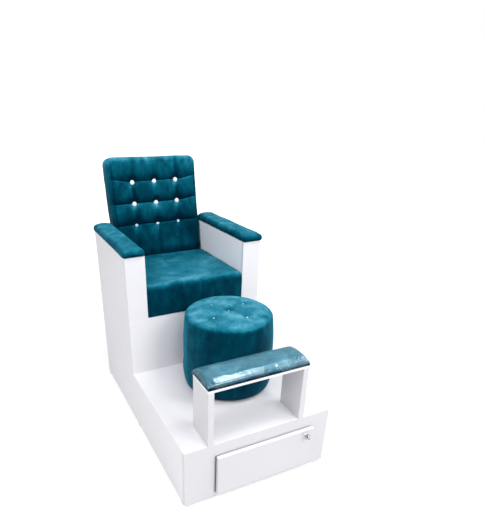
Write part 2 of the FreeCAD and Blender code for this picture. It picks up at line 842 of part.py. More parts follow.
def back_outline(x, sink, seam, top):
    """One upright section of the back: a puffed panel between each two sewn tucks."""
    stops = [0] + tuft_rows() + [top - d.back_edge]
    start_depth = sink + seam
    steps = []
    for low, high in zip(stops[:-1], stops[1:]):
        for share, depth_share in zip(PUFF_SHARES, PUFF_DEPTH_SHARES):
            steps.append(Vector(x, sink + seam * depth_share, low + share * (high - low)))
        steps.append(Vector(x, sink if high == stops[-1] else sink + seam, high))
    edge_arc = d.back_edge * QUARTER_ARC_SHARE
    steps.append((Vector(x, sink + edge_arc, top - edge_arc),
                  Vector(x, sink + d.back_edge, top)))
    steps.append(Vector(x, d.back_foam, top))
    steps.append(Vector(x, d.back_foam, 0))
    steps.append(Vector(x, start_depth, 0))
    return outline_wire(Vector(x, start_depth, 0), steps)


def back_sections():
    """Places across the back with how far each section sinks, tucks and drops at the top."""
    half = d.back_width / 2
    sections = []
    for share in SIDE_STEP_SHARES[:-1]:
        full = fullness(share)
        inset = share * d.back_corner
        sections.append((half - inset, d.back_edge * (1 - full), d.tuft_seam,
                         d.back_height - d.back_corner * (1 - full)))
    outer = tuft_columns()[-1]
    sections.append(((half + outer) / 2, 0, d.tuft_depth - d.tuft_seam, d.back_height))
    sections.append((outer, d.tuft_seam, d.tuft_depth - d.tuft_seam, d.back_height))
    sections.append((outer / 2, 0, d.tuft_depth - d.tuft_seam, d.back_height))
    middle = (0, d.tuft_seam, d.tuft_depth - d.tuft_seam, d.back_height)
    mirrored = [(-x, sink, seam, top) for x, sink, seam, top in sections]
    return mirrored + [middle] + sections[::-1]


def back_plate(depth, thickness, low, margin):
    """A flat board on the back with rounded top corners."""
    half = d.back_width / 2 - margin
    corner = d.back_corner - margin
    arc = corner * QUARTER_ARC_SHARE
    top = d.back_height - margin
    wire = outline_wire(Vector(-half, depth, low), [
        Vector(half, depth, low),
        Vector(half, depth, top - corner),
        (Vector(half - arc, depth, top - arc), Vector(half - corner, depth, top)),
        Vector(corner - half, depth, top),
        (Vector(arc - half, depth, top - arc), Vector(-half, depth, top - corner)),
        Vector(-half, depth, low)])
    return Part.Face(wire).extrude(Vector(0, thickness, 0))


def make_back_blocks():
    """Hardwood blocks on the back board, which take the bolts through the arms."""
    blocks = []
    for side, x in (("left", "-back_width / 2 + block_inset"),
                    ("right", "back_width / 2 - block_inset - block_width")):
        block = box("block_width", "block_depth", "block_height")
        place_on_back(block, x, "back_foam - block_depth", "-block_drop")
        blocks.append(block)
    return blocks


def make_back_bolts():
    """Four bolts from inside the arms into the blocks of the back."""
    bolts = []
    reach = "(arm_width - board)"
    across = "(width / 2 - %s)" % reach
    long = "(board + width / 2 - arm_width - back_width / 2 + block_inset + block_width / 2)"
    for side in (-1, 1):
        for up in ("bolt_low", "bolt_high"):
            x = "%d * %s" % (side, across)
            y = "back_foam - block_depth + bolt_inset"
            spot = ("width / 2 + %s" % x,
                    "back_front + (%s) * cos(back_tilt) + (%s) * sin(back_tilt)" % (y, up),
                    "back_base - (%s) * sin(back_tilt) + (%s) * cos(back_tilt)" % (y, up))
            shank = place(shank_of("bolt_radius", long), *spot, (0, 1, 0), "%d * 90" % -side)
            head = place(prism(BOLT_HEAD_SIDES, "bolt_head", "bolt_head_height"), *spot,
                         (0, 1, 0), "%d * 90" % side)
            bolts.append(fused([shank, head]))
    group("back_bolts", bolts)
    return bolts


def make_back_cushion(low):
    """The tufted back cushion, drawn round its board, with room behind it for the blocks."""
    outlines = [back_outline(*section) for section in back_sections()]
    form = Part.makeLoft(outlines, True, True)
    wrap = back_plate(d.back_foam, d.back_board, 0, 0)
    wrap = wrap.cut(back_plate(d.back_foam, d.back_board, low, d.back_cover))
    form = form.fuse(wrap)
    room = d.soft_gap
    for side in (-1, 1):
        middle = side * (d.back_width / 2 - d.block_inset - d.block_width / 2)
        notch = Part.makeBox(
            d.block_width + 2 * d.block_inset + 2 * room, d.block_depth + 2 * room,
            d.block_height + d.block_drop + room,
            Vector(middle - d.block_width / 2 - d.block_inset - room,
                   d.back_foam - d.block_depth - room, -2 * d.block_drop))
        form = form.cut(notch)
    for up in tuft_rows():
        for x in tuft_columns():
            pit = faceted(GEM_SIDES, [
                (d.button_radius + d.button_seat, -d.tuft_depth),
                (d.button_radius + 2 * d.button_seat, d.button_seat)])
            pit.rotate(Vector(), Vector(1, 0, 0), 90)
            pit.translate(Vector(x, 0, up))
            form = form.cut(pit)
    keep(place_on_back(set_shape(form), "0", "0", "0"), "back_cushion")


def make_back_buttons():
    """Cut crystal buttons seated at the crossings of the tucks."""
    buttons = []
    for row in range(TUFT_ROWS):
        for column in range(TUFT_COLUMNS):
            stone = set_shape(gem(d.button_radius, d.button_height,
                                  BUTTON_RADIUS_SHARES, BUTTON_HEIGHT_SHARES))
            x = "%s * tuft_pitch_across" % (column - (TUFT_COLUMNS - 1) / 2)
            y = "tuft_depth - soft_gap"
            z = "tuft_lowest + %d * tuft_pitch_up" % row
            place_on_back(stone, x, y, z)
            stone.setExpression("Placement.Rotation.Angle", bound("90 - back_tilt"))
            buttons.append(stone)
    group("back_buttons", buttons)


def make_back(bolts, blocks):
    """The back: board, blocks, rear cover, tufted cushion and buttons."""
    low = -d.back_skirt
    plate = set_shape(back_plate(d.back_foam, d.back_board, low, d.back_cover))
    keep(place_on_back(plate, "0", "0", "0"), "back_board")
    cover = set_shape(back_plate(d.back_foam + d.back_board, d.back_cover, low, d.back_cover))
    keep(place_on_back(cover, "0", "0", "0"), "back_rear_cover")
    drilled_blocks = [drilled(block, bolts) for block in blocks]
    group("back_fixing_blocks", drilled_blocks)
    make_back_cushion(low)
    make_back_buttons()


# Stool
def stool_flat_radius():
    """Radius of the flat middle of the top, which holds every tuft."""
    return d.stool_tuft_circle + d.stool_tuft_radius + d.stool_crown


def stool_rings():
    """Radius and height of each outline of the upholstered drum, from its hem to its top."""
    low = d.glide_height + d.stool_hem
    shoulder_up = d.stool_height - d.stool_rim
    rings = []
    for share in STOOL_SIDE_SHARES:
        straight = d.stool_foot_radius + share * (d.stool_shoulder_radius - d.stool_foot_radius)
        bulge = d.stool_belly_radius - (d.stool_foot_radius + d.stool_shoulder_radius) / 2
        rings.append((straight + bulge * 4 * share * (1 - share),
                      low + share * (shoulder_up - low)))
    for share in STOOL_RIM_SHARES:
        turn = share * math.pi / 2
        rings.append((d.stool_shoulder_radius - d.stool_rim * (1 - math.cos(turn)),
                      shoulder_up + d.stool_rim * math.sin(turn)))
    rings.append((stool_flat_radius(), d.stool_height + d.stool_crown))
    return rings


def stool_tuft_spots():
    """Places of the stool's buttons: one in the middle, the others round it."""
    spots = [(0, 0)]
    for step in range(STOOL_TUFTS):
        turn = math.radians(d.stool_tuft_turn + 360 * step / STOOL_TUFTS)
        spots.append((d.stool_tuft_circle * math.cos(turn), d.stool_tuft_circle * math.sin(turn)))
    return spots


def make_stool_drum():
    """The upholstered drum of the stool, with a dimple for each button."""
    form = faceted(DRUM_SIDES, stool_rings())
    reach = d.stool_core_radius + 2 * d.soft_gap
    form = form.cut(faceted(CORE_SIDES, [(reach, 0), (reach, d.stool_height - d.stool_pad)]))
    for x, y in stool_tuft_spots():
        top = d.stool_height + d.stool_crown
        pit = faceted(GEM_SIDES, [(d.stool_button_radius, top - d.stool_tuft_depth),
                                  (d.stool_tuft_radius, top + d.stool_crown)])
        pit.translate(Vector(x, y, 0))
        form = form.cut(pit)
    keep(place(set_shape(form), "stool_x", "stool_y", "deck_height"), "stool_drum")


def make_stool_core():
    """The stool's hidden eight-sided core, its top and base boards and its glides."""
    floor = "deck_height + glide_height"
    tall = "stool_height - stool_pad - glide_height - 2 * stool_board"
    outer = place(prism(CORE_SIDES, "stool_core_radius", tall), "stool_x", "stool_y",
                  floor + " + stool_board")
    inner = place(prism(CORE_SIDES, "stool_core_radius - stool_core_wall", tall),
                  "stool_x", "stool_y", floor + " + stool_board")
    keep(drilled(outer, [inner]), "stool_core_tube")
    keep(place(prism(CORE_SIDES, "stool_core_radius", "stool_board - soft_gap"),
               "stool_x", "stool_y", "deck_height + stool_height - stool_pad - stool_board"),
         "stool_core_disc")
    keep(place(prism(CORE_SIDES, "stool_core_radius", "stool_board"), "stool_x", "stool_y",
               floor), "stool_base_board")
    glides = []
    for step in range(STOOL_GLIDES):
        turn = "(2 * %d + 1) * 180 / %d" % (step, STOOL_GLIDES)
        reach = "(stool_core_radius - glide_inset)"
        glides.append(place(prism(GEM_SIDES, "glide_radius", "glide_height - soft_gap"),
                            "stool_x + %s * cos(%s)" % (reach, turn),
                            "stool_y + %s * sin(%s)" % (reach, turn),
                            "deck_height + soft_gap"))
    group("stool_glides", glides)


def make_stool_buttons():
    """The stool's small cut crystal buttons, one in the middle and the others round it."""
    spots = [("stool_x", "stool_y")]
    for step in range(STOOL_TUFTS):
        turn = "(stool_tuft_turn + 360 * %d / %d)" % (step, STOOL_TUFTS)
        spots.append(("stool_x + stool_tuft_circle * cos(%s)" % turn,
                      "stool_y + stool_tuft_circle * sin(%s)" % turn))
    buttons = []
    for x, y in spots:
        stone = set_shape(gem(d.stool_button_radius - d.soft_gap, d.stool_button_height,
                              BUTTON_RADIUS_SHARES, BUTTON_HEIGHT_SHARES))
        buttons.append(place(stone, x, y, "deck_height + stool_height + stool_crown"
                                          " - stool_tuft_depth"))
    group("stool_buttons", buttons)


make_side_panel("base_left_side", "0")
make_side_panel("base_right_side", "width - board")
make_platform_boards()
make_compartment()
make_feet()

leg_screws = make_leg_screws()
make_deck(leg_screws)
make_footrest(leg_screws)
make_footrest_pad()

fixed_screws, door_screws = make_hinge()
magnet_stem = make_catch()
knob_shank = make_knob()
make_door(door_screws, knob_shank)
keep(drilled(make_front_panel(), fixed_screws + [magnet_stem]), "base_front_panel")

bolts = make_back_bolts()
left_inner = make_arm("left", "0", "0", "arm_width - board")
right_inner = make_arm("right", "(width - arm_width)", "width - board", "width - arm_width")
keep(drilled(left_inner, bolts), "arm_left_inner_panel")
keep(drilled(right_inner, bolts), "arm_right_inner_panel")
make_arm_pad("arm_left_pad", "0", 0)
make_arm_pad("arm_right_pad", "width - arm_width", 1)
make_seat_frame()
make_seat_cushion()
make_back(bolts, make_back_blocks())

make_stool_drum()
make_stool_core()
make_stool_buttons()

doc.recompute()
for obj in doc.Objects:
    if {"Invalid", "Error"} & set(obj.State):
        raise RuntimeError("%s (%s) failed to rebuild" % (obj.Name, obj.Label))
for piece in pieces:
    if piece.Shape.isNull() or not piece.Shape.isValid():
        raise RuntimeError("%s has no valid shape" % piece.Label)

os.makedirs("parts", exist_ok=True)
for piece in pieces:
    piece.Shape.exportStep("parts/%s.step" % piece.Label)
    print("%-26s %10.0f mm3  %2d solids" % (piece.Label, piece.Shape.Volume, len(piece.Shape.Solids)))
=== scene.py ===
import json
import math

import bmesh
import bpy
import numpy as np
from mathutils import Matrix, Vector


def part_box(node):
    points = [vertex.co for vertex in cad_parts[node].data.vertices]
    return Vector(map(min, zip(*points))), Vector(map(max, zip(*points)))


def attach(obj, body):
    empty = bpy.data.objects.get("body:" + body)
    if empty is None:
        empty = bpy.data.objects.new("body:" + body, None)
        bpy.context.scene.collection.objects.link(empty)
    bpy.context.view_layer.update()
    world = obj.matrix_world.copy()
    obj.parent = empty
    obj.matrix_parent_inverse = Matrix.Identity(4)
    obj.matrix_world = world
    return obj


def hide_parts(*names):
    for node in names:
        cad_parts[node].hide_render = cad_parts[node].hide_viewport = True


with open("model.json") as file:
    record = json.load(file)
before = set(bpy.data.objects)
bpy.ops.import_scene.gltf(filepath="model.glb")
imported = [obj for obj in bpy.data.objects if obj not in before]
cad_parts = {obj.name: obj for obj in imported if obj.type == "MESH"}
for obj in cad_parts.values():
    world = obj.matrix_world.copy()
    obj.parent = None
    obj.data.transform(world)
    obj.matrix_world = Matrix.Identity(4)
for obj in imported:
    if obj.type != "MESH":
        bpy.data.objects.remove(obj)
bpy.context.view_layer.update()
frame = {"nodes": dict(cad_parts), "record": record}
scene = bpy.context.scene

# Sizes in millimetres, measured from the bench's left side, front face and floor
WIDTH = 700.0
DEPTH = 1205.0
MIDDLE_Y = -1000.0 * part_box("base_front_panel")[0][1]
DECK = 294.0
DECK_LENGTH = 646.0
RISER = 588.0
ARM_WIDTH = 95.0
ARM_TOP = 894.0
SOFT_GAP = 0.3

BACK_FRONT = 1117.0
BACK_BASE = 664.0
BACK_TILT = math.radians(9)
BACK_HALF = 247.0
BACK_HEIGHT = 594.0
BACK_FOAM = 76.0
BACK_BOARD = 15.0
BACK_COVER = 3.0
BACK_CORNER = 38.0
BACK_ROUNDING = (22.0, 20.0)
BACK_REAR_ROUNDING = (0.6, 0.6)
BACK_SEAM = 24.0
REAR_INSET = 0.8
REAR_THICKNESS = 3.0
TUFT_ROWS = (247.0, 358.0, 469.0)
TUFT_COLUMNS = (-123.5, 0.0, 123.5)
TUFT_DEPTH = 15.0
PANELS = tuple(zip((-60.0,) + TUFT_ROWS, TUFT_ROWS + (BACK_HEIGHT + 90.0,)))
PLEAT_PITCH = 9.5
# From below: how far each row's crease rises at the left and right side, how strong the fans of
# pleats and their painted highlights are and how wide these highlights are at each button, and
# how deep each panel's tucks and their painted shade are
EDGE_RISES = ((-6.0, 0.0), (0.0, 12.0), (14.0, 14.0))
FAN_SHARES = ((0.5, 1.0, 0.6), (0.75, 1.0, 0.85), (0.3, 0.9, 1.0))
FAN_WIDTHS = ((18.0, 9.0, 11.0), (19.0, 15.0, 14.0), (12.0, 15.0, 13.0))
TUCK_SHARES = ((0.35, 0.5, 0.4), (0.45, 0.3, 0.5), (1.0, 0.3, 1.0), (0.4, 0.2, 0.7))

SEAT_HALF = 254.0
SEAT_TOP = 740.0
SEAT_FRAME_TOP = 660.3
SEAT_FRAME_FRONT = 661.0
SEAT_NOSE = 27.0
SEAT_EDGE = 6.0

ARCH_LEFT = 104.0
ARCH_WIDTH = 457.0
ARCH_DEPTH = 140.0
ARCH_TOP = 561.0
ARCH_MIDDLE = ARCH_LEFT + ARCH_WIDTH / 2
PAD_OVER = 1.0
PAD_HALF = ARCH_WIDTH / 2 + PAD_OVER
PAD_SIDE = 5.0
PAD_CROWN = 33.0
PAD_LIP = 4.0
FILM_MARGIN = 1.9
FILM_HEM = 9.0
SHOULDER = math.radians(31)
SHOULDER_Y = 14.0

STOOL_X = 404.0
STOOL_Y = 409.0
STOOL_LOW = 3.0
STOOL_HEIGHT = 368.0
STOOL_FOOT = 193.0
STOOL_BELLY = 209.0
STOOL_SHOULDER = 198.0
STOOL_FOOT_FULLNESS = 9.0
STOOL_FOOT_ROUNDING = 22.0
STOOL_RIM = 19.0
STOOL_CROWN = 17.0
STOOL_TUFT_CIRCLE = 104.5
STOOL_TUFT_TURN = math.radians(23)

# Stones: radius and height, and their rings as shares of these
BACK_STONE = (12.6, 9.6)
LOW_STONE_SUNK = 7.2
STOOL_STONE = (6.2, 5.0)
STONE_SHARES = ((0.86, 0.0), (1.0, 0.22), (0.98, 0.42), (0.80, 0.74), (0.52, 1.0))
KNOB_STONE = (13.0, 23.9)
KNOB_SHARES = ((0.42, 0.0), (0.62, 0.10), (0.95, 0.34), (1.0, 0.50), (0.86, 0.72), (0.5, 1.0))
KNOB_PLACE = (565.0, -28.0, 215.0)

FOOT_INSET = 30.0
FOOT_RINGS = ((24.0, 0.0), (28.5, 0.9), (31.6, 3.2), (33.4, 7.2), (34.0, 11.95))

SWELL_FRAMES = 20
SKY_LIGHT = 0.51
# The floor's own glow near and far, and the distances in metres where it starts and ends
FLOOR_GLOWS = (0.33, 0.95)
FLOOR_REACHES = (0.9, 3.2)

# The camera was fitted to the corners of the boxes in the photograph
CAMERA_PLACE = (-514.9, -1266.6, 1514.0)
CAMERA_YAW = math.radians(24.3)
CAMERA_PITCH = math.radians(27.5)
CAMERA_ROLL = math.radians(-0.3)
IMAGE_WIDTH = 485.0
IMAGE_HEIGHT = 514.0
FOCAL_PIXELS = 457.5
PRINCIPAL = (196.5, 338.4)
SENSOR = 36.0


def in_frame(points):
    """Move points from the measured millimetres to the frame's metres."""
    points = np.atleast_2d(np.asarray(points, float))
    return (points - (WIDTH / 2, MIDDLE_Y, 0.0)) / 1000.0


def on_back(points):
    """Lean points given on the back's own axes and put them on the chair."""
    x, y, z = np.asarray(points, float).T
    lean_cos, lean_sin = math.cos(BACK_TILT), math.sin(BACK_TILT)
    return np.stack([WIDTH / 2 + x, BACK_FRONT + y * lean_cos + z * lean_sin,
                     BACK_BASE - y * lean_sin + z * lean_cos], axis=1)


def put_in_scene(name, data):
    """Make an object of a mesh, lamp or camera."""
    obj = bpy.data.objects.new(name, data)
    scene.collection.objects.link(obj)
    return obj


# Meshes
def add_object(name, points, faces, smooth=True):
    """Make an object from points in the frame's metres and a list of faces."""
    mesh = bpy.data.meshes.new(name)
    mesh.from_pydata([tuple(p) for p in points], [], [tuple(int(i) for i in f) for f in faces])
    mesh.update()
    if smooth:
        mesh.polygons.foreach_set("use_smooth", [True] * len(mesh.polygons))
    return put_in_scene(name, mesh)


def store_nap_hem_and_painted_light(obj, values):
    """Store a value at each point: painted light and shade with nap patches on velvet, the hem on
    the film, painted shade on crystals.
    """
    layer = obj.data.attributes.new("nap_hem_and_painted_light", "FLOAT", "POINT")
    layer.data.foreach_set("value", np.asarray(values, np.float32))


def spaced(low, high, step, marks=(), near=(0.0,)):
    """Grid lines at about one step, with extra lines close to each mark."""
    lines = list(np.linspace(low, high, max(2, int(round((high - low) / step)) + 1)))
    extra = [mark + offset for mark in marks for offset in near]
    extra = [line for line in extra if low < line < high]
    kept = [line for line in lines
            if line in (lines[0], lines[-1]) or all(abs(line - e) > 0.45 * step for e in extra)]
    return np.array(sorted(kept + extra))


def quads_of(number):
    """Four-sided faces between the neighbours in a grid of point numbers."""
    return np.stack([number[:-1, :-1], number[1:, :-1], number[1:, 1:], number[:-1, 1:]],
                    axis=-1).reshape(-1, 4)


def shell_of(xs, ys, zs):
    """Points and outward faces of the surface of a block of grid lines."""
    counts = (len(xs), len(ys), len(zs))
    on = np.zeros(counts, bool)
    on[[0, -1], :, :] = True
    on[:, [0, -1], :] = True
    on[:, :, [0, -1]] = True
    number = np.full(counts, -1)
    number[on] = np.arange(int(on.sum()))
    grid = np.stack(np.meshgrid(xs, ys, zs, indexing="ij"), axis=-1)
    sides = [quads_of(number[0])[:, ::-1], quads_of(number[-1]), quads_of(number[:, 0]),
             quads_of(number[:, -1])[:, ::-1], quads_of(number[:, :, 0])[:, ::-1],
             quads_of(number[:, :, -1])]
    return grid[on], np.concatenate(sides)


def rounded(points, low, high, low_radius, high_radius):
    """Round a block's edges, with a radius for each of its six sides."""
    low, high = np.asarray(low, float), np.asarray(high, float)
    low_radius, high_radius = np.asarray(low_radius, float), np.asarray(high_radius, float)
    core = np.clip(points, low + low_radius, high - high_radius)
    away = points - core
    radius = np.where(away < 0, low_radius, high_radius)
    share = away / radius
    length = np.linalg.norm(share, axis=1, keepdims=True)
    biggest = np.abs(share).max(axis=1, keepdims=True)
    scale = np.where(length > 1e-9, biggest / np.maximum(length, 1e-9), 1.0)
    return core + away * scale


def round_plan(first, second, first_limit, second_limit, radius):
    """Draw one corner of a flat outline in to an arc of a radius."""
    along = np.clip(first - (first_limit - radius), 0, None)
    up = np.clip(second - (second_limit - radius), 0, None)
    length = np.maximum(np.hypot(along, up), 1e-9)
    scale = np.maximum(along, up) / length
    scale = np.where((along > 0) & (up > 0), scale, 1.0)
    return (np.where(along > 0, first_limit - radius + along * scale, first),
            np.where(up > 0, second_limit - radius + up * scale, second))


def plan_edge(first, second, first_limit, second_limit, radius):
    """Distance in from a rounded outline, and the two parts of the way out to it."""
    along = np.clip(first - (first_limit - radius), 0, None)
    up = np.clip(second - (second_limit - radius), 0, None)
    corner = (along > 0) & (up > 0)
    reach = np.maximum(np.hypot(along, up), 1e-9)
    nearer = np.where(first_limit - first < second_limit - second, 1.0, 0.0)
    gap = np.where(corner, radius - reach,
                   np.minimum(first_limit - first, second_limit - second))
    return gap, np.where(corner, along / reach, nearer), np.where(corner, up / reach, 1 - nearer)


def round_edge(gap, depth, across, deep):
    """Round the edge between a face and its sides to a quarter ellipse."""
    first = np.clip(across - gap, 0, None) / across
    second = np.clip(deep - depth, 0, None) / deep
    length = np.maximum(np.hypot(first, second), 1e-9)
    scale = np.where((first > 0) & (second > 0), np.maximum(first, second) / length, 1.0)
    return (np.where(first > 0, across * (1 - first * scale), gap),
            np.where(second > 0, deep * (1 - second * scale), depth))


def smooth_step(value, start, stop):
    """Rise from 0 to 1 between two values."""
    share = np.clip((value - start) / (stop - start), 0, 1)
    return share * share * (3 - 2 * share)


def waves(x, y, size, seed):
    """Soft uneven ripples about one unit high, the same in every run."""
    rng = np.random.default_rng(seed)
    total = np.zeros_like(np.asarray(x, float))
    for _ in range(7):
        turn = rng.uniform(0, math.pi)
        length = size * rng.uniform(0.6, 1.8)
        phase = rng.uniform(0, 2 * math.pi)
        total += np.sin((x * math.cos(turn) + y * math.sin(turn)) * 2 * math.pi / length + phase)
    return total / 3.5


def swell(obj, held, pressure, slack, cap):
    """Blow a cushion up with the cloth solver and keep each point near its start."""
    mesh = obj.data
    start = np.zeros(len(mesh.vertices) * 3)
    mesh.vertices.foreach_get("co", start)
    start = start.reshape(-1, 3)
    group = obj.vertex_groups.new(name="held")
    for level in np.unique(np.round(held, 1)):
        if level > 0:
            chosen = np.nonzero(np.round(held, 1) == level)[0]
            group.add([int(i) for i in chosen], float(level), "REPLACE")
    modifier = obj.modifiers.new("Cloth", "CLOTH")
    cloth = modifier.settings
    cloth.quality = 4
    cloth.mass = 0.3
    cloth.tension_stiffness = 12
    cloth.compression_stiffness = 12
    cloth.shear_stiffness = 5
    cloth.bending_stiffness = 0.3
    cloth.use_pressure = True
    cloth.uniform_pressure_force = pressure
    cloth.effector_weights.gravity = 0
    cloth.shrink_min = -slack
    cloth.vertex_group_mass = "held"
    modifier.collision_settings.use_collision = False
    modifier.point_cache.frame_start = 1
    modifier.point_cache.frame_end = SWELL_FRAMES
    for number in range(1, SWELL_FRAMES + 1):
        scene.frame_set(number)
    moved = obj.evaluated_get(bpy.context.evaluated_depsgraph_get())
    end = np.zeros(len(mesh.vertices) * 3)
    moved.data.vertices.foreach_get("co", end)
    move = end.reshape(-1, 3) - start
    length = np.linalg.norm(move, axis=1, keepdims=True)
    limit = cap / 1000.0
    move = move * np.where(length > limit, limit / np.maximum(length, 1e-9), 1.0)
    obj.modifiers.remove(modifier)
    obj.vertex_groups.clear()
    mesh.vertices.foreach_set("co", (start + move).ravel())
    mesh.update()
    scene.frame_set(1)


def tidy_mesh(obj):
    """Join points that lie together and drop faces without area."""
    made = bmesh.new()
    made.from_mesh(obj.data)
    bmesh.ops.remove_doubles(made, verts=made.verts, dist=0.00002)
    bmesh.ops.dissolve_degenerate(made, edges=made.edges, dist=0.00002)
    bmesh.ops.recalc_face_normals(made, faces=made.faces)
    made.to_mesh(obj.data)
    made.free()
    obj.data.polygons.foreach_set("use_smooth", [True] * len(obj.data.polygons))


def subdivide(obj):
    """Smooth a soft piece with one more subdivision."""
    modifier = obj.modifiers.new("Subdivision", "SUBSURF")
    modifier.levels = modifier.render_levels = 1


# Materials
def feed(tree, node, values):
    """Link a node's sockets to the outputs given for them, or set them to constants."""
    for name, value in values.items():
        if isinstance(value, bpy.types.NodeSocket):
            tree.links.new(value, node.inputs[name])
        else:
            node.inputs[name].default_value = value


def add_node(tree, kind, values=None, **settings):
    """Add a shader node, change its settings and feed its sockets."""
    node = tree.nodes.new("ShaderNode" + kind)
    for name, value in settings.items():
        setattr(node, name, value)
    feed(tree, node, values or {})
    return node


def new_material(name):
    """Start a node material and return it with its node tree and shader."""
    material = bpy.data.materials.new(name)
    material.use_nodes = True
    tree = material.node_tree
    tree.nodes.clear()
    shader = add_node(tree, "BsdfPrincipled")
    add_node(tree, "OutputMaterial", {"Surface": shader.outputs["BSDF"]})
    return material, tree, shader


def grain(tree, scale, detail=3.0, roughness=0.5, stretch=(1, 1, 1), distortion=0.0):
    """Noise over the piece's own coordinates, in features of about 1/scale metres."""
    place = add_node(tree, "TexCoord")
    mapping = add_node(tree, "Mapping", {"Vector": place.outputs["Object"], "Scale": stretch})
    texture = add_node(tree, "TexNoise", {
        "Vector": mapping.outputs["Vector"], "Scale": scale, "Detail": detail,
        "Roughness": roughness, "Distortion": distortion})
    return texture.outputs["Fac"]


def ramp(tree, value, stops):
    """Turn a value into a colour through stops of (place, colour)."""
    node = add_node(tree, "ValToRGB", {"Fac": value})
    elements = node.color_ramp.elements
    while len(elements) < len(stops):
        elements.new(0.5)
    for element, (place, colour) in zip(elements, stops):
        element.position = place
        element.color = (*colour, 1)
    return node.outputs["Color"]


def span(tree, value, low, high, start=0.3, stop=0.7):
    """Map a noise value to a range."""
    return add_node(tree, "MapRange", {"Value": value, "From Min": start, "From Max": stop,
                                       "To Min": low, "To Max": high}).outputs["Result"]


def blend_colours(tree, share, first, second, mode="MIX"):
    """Mix two colours by a share."""
    first, second = [(*colour, 1) if isinstance(colour, tuple) else colour
                     for colour in (first, second)]
    return add_node(tree, "Mix", {"Factor": share, 6: first, 7: second},
                    data_type="RGBA", blend_type=mode).outputs[2]


def weighed(tree, values, offset):
    """Add values, each times its weight, to an offset."""
    total = offset
    for value, weight in values:
        total = add_node(tree, "Math", {0: value, 1: weight, 2: total},
                         operation="MULTIPLY_ADD").outputs[0]
    return total


def bump(tree, layers):
    """Stack bump layers of (height, strength, distance in metres) into one normal."""
    above = {}
    for height, strength, distance in layers:
        node = add_node(tree, "Bump", {"Height": height, "Strength": strength,
                                       "Distance": distance, **above})
        above = {"Normal": node.outputs["Normal"]}
    return above["Normal"]


def facing_up(tree):
    """How far the surface looks up, from -1 to 1."""
    geometry = add_node(tree, "NewGeometry")
    return add_node(tree, "SeparateXYZ", {"Vector": geometry.outputs["Normal"]}).outputs["Z"]


def nap_hem_and_painted_light(tree):
    """The stored value: painted light and shade with nap patches on velvet, the film's hem, or
    painted shade on a crystal.
    """
    return add_node(tree, "Attribute", attribute_name="nap_hem_and_painted_light").outputs["Fac"]


def darker(tone, share):
    """A colour times a share."""
    return tuple(value * share for value in tone)


def lacquer(name, shade):
    """White satin lacquer, with painted shade making it greyer on faces standing up straight, and
    darker where it gathers scuffs.
    """
    material, tree, shader = new_material(name)
    cloudy = grain(tree, 3.0, 4.0)
    scuffs = grain(tree, 26.0, 6.0, 0.7, (1, 1, 0.3), 0.6)
    # Painted shade: faces standing up straight take the tone times the piece's shade share
    painted_upright_shade = blend_colours(tree, span(tree, facing_up(tree), 0.0, 1.0, 0.4, 0.9),
                            darker(LACQUER_TONE, shade), LACQUER_TONE)
    cloud = ramp(tree, cloudy, [(0.35, (0.985, 0.985, 0.985)), (0.65, (1.0, 1.0, 1.0))])
    base = blend_colours(tree, 1.0, painted_upright_shade, cloud, "MULTIPLY")
    worn = span(tree, scuffs, 0.0, 0.10, 0.62, 0.78)
    feed(tree, shader, {
        "Base Color": blend_colours(tree, worn, base, darker(LACQUER_TONE, 0.8)),
        "Roughness": span(tree, scuffs, 0.30, 0.42), "Coat Weight": 0.25,
        "Coat Roughness": 0.15,
        "Normal": bump(tree, [(grain(tree, 12.0, 2.0), 0.10, 0.0010),
                              (grain(tree, 420.0, 2.0), 0.06, 0.0002)])})
    return material


def velvet(name, nap):
    """Crushed velvet with painted light: lighter where it looks up, plus the stored painted light
    and shade and random nap patches.
    """
    material, tree, shader = new_material(name)
    patches = grain(tree, 9.0, 3.0, 0.55, nap, 0.9)
    mottle = grain(tree, 42.0, 4.0, 0.62, nap, 0.7)
    fibres = grain(tree, 1100.0, 2.0, 0.6)
    # Painted light from above by how far the surface looks up, the stored painted light and
    # shade, and nap patches
    value = weighed(tree, [(nap_hem_and_painted_light(tree), 1.0), (facing_up(tree), 0.48), (patches, 0.62),
                           (mottle, 0.42), (fibres, 0.16)], -0.36)
    feed(tree, shader, {
        "Base Color": ramp(tree, value, VELVET_STOPS),
        "Roughness": span(tree, mottle, 0.55, 0.75),
        "Specular IOR Level": 0.06, "Specular Tint": (0.1, 0.8, 1.0, 1),
        "Sheen Weight": 0.35, "Sheen Roughness": 0.32, "Sheen Tint": (0.03, 0.62, 0.85, 1),
        "Normal": bump(tree, [(patches, 0.30, 0.0040), (mottle, 0.40, 0.0014),
                              (fibres, 0.30, 0.0003)])})
    return material


def clear_film(name):
    """Thin clear wrapping film: a faint haze with bright reflections."""
    material, tree, shader = new_material(name)
    creases = grain(tree, 30.0, 4.0, 0.55, (0.4, 1, 1), 1.2)
    folds = grain(tree, 17.0, 2.0, 0.5, (0.7, 1.6, 1), 0.5)
    edge = add_node(tree, "LayerWeight", {"Blend": 0.35})
    feed(tree, shader, {
        "Base Color": ramp(tree, creases, [(0.3, (0.55, 0.80, 0.90)), (0.7, (0.80, 0.94, 1.0))]),
        "Roughness": span(tree, creases, 0.12, 0.26), "Metallic": 0.7,
        "Alpha": weighed(tree, [(edge.outputs["Facing"], 0.10), (creases, 0.12), (folds, 0.15),
                                (nap_hem_and_painted_light(tree), -0.10)], -0.062),
        "Normal": bump(tree, [(folds, 0.35, 0.0040), (creases, 0.40, 0.0018)])})
    return material


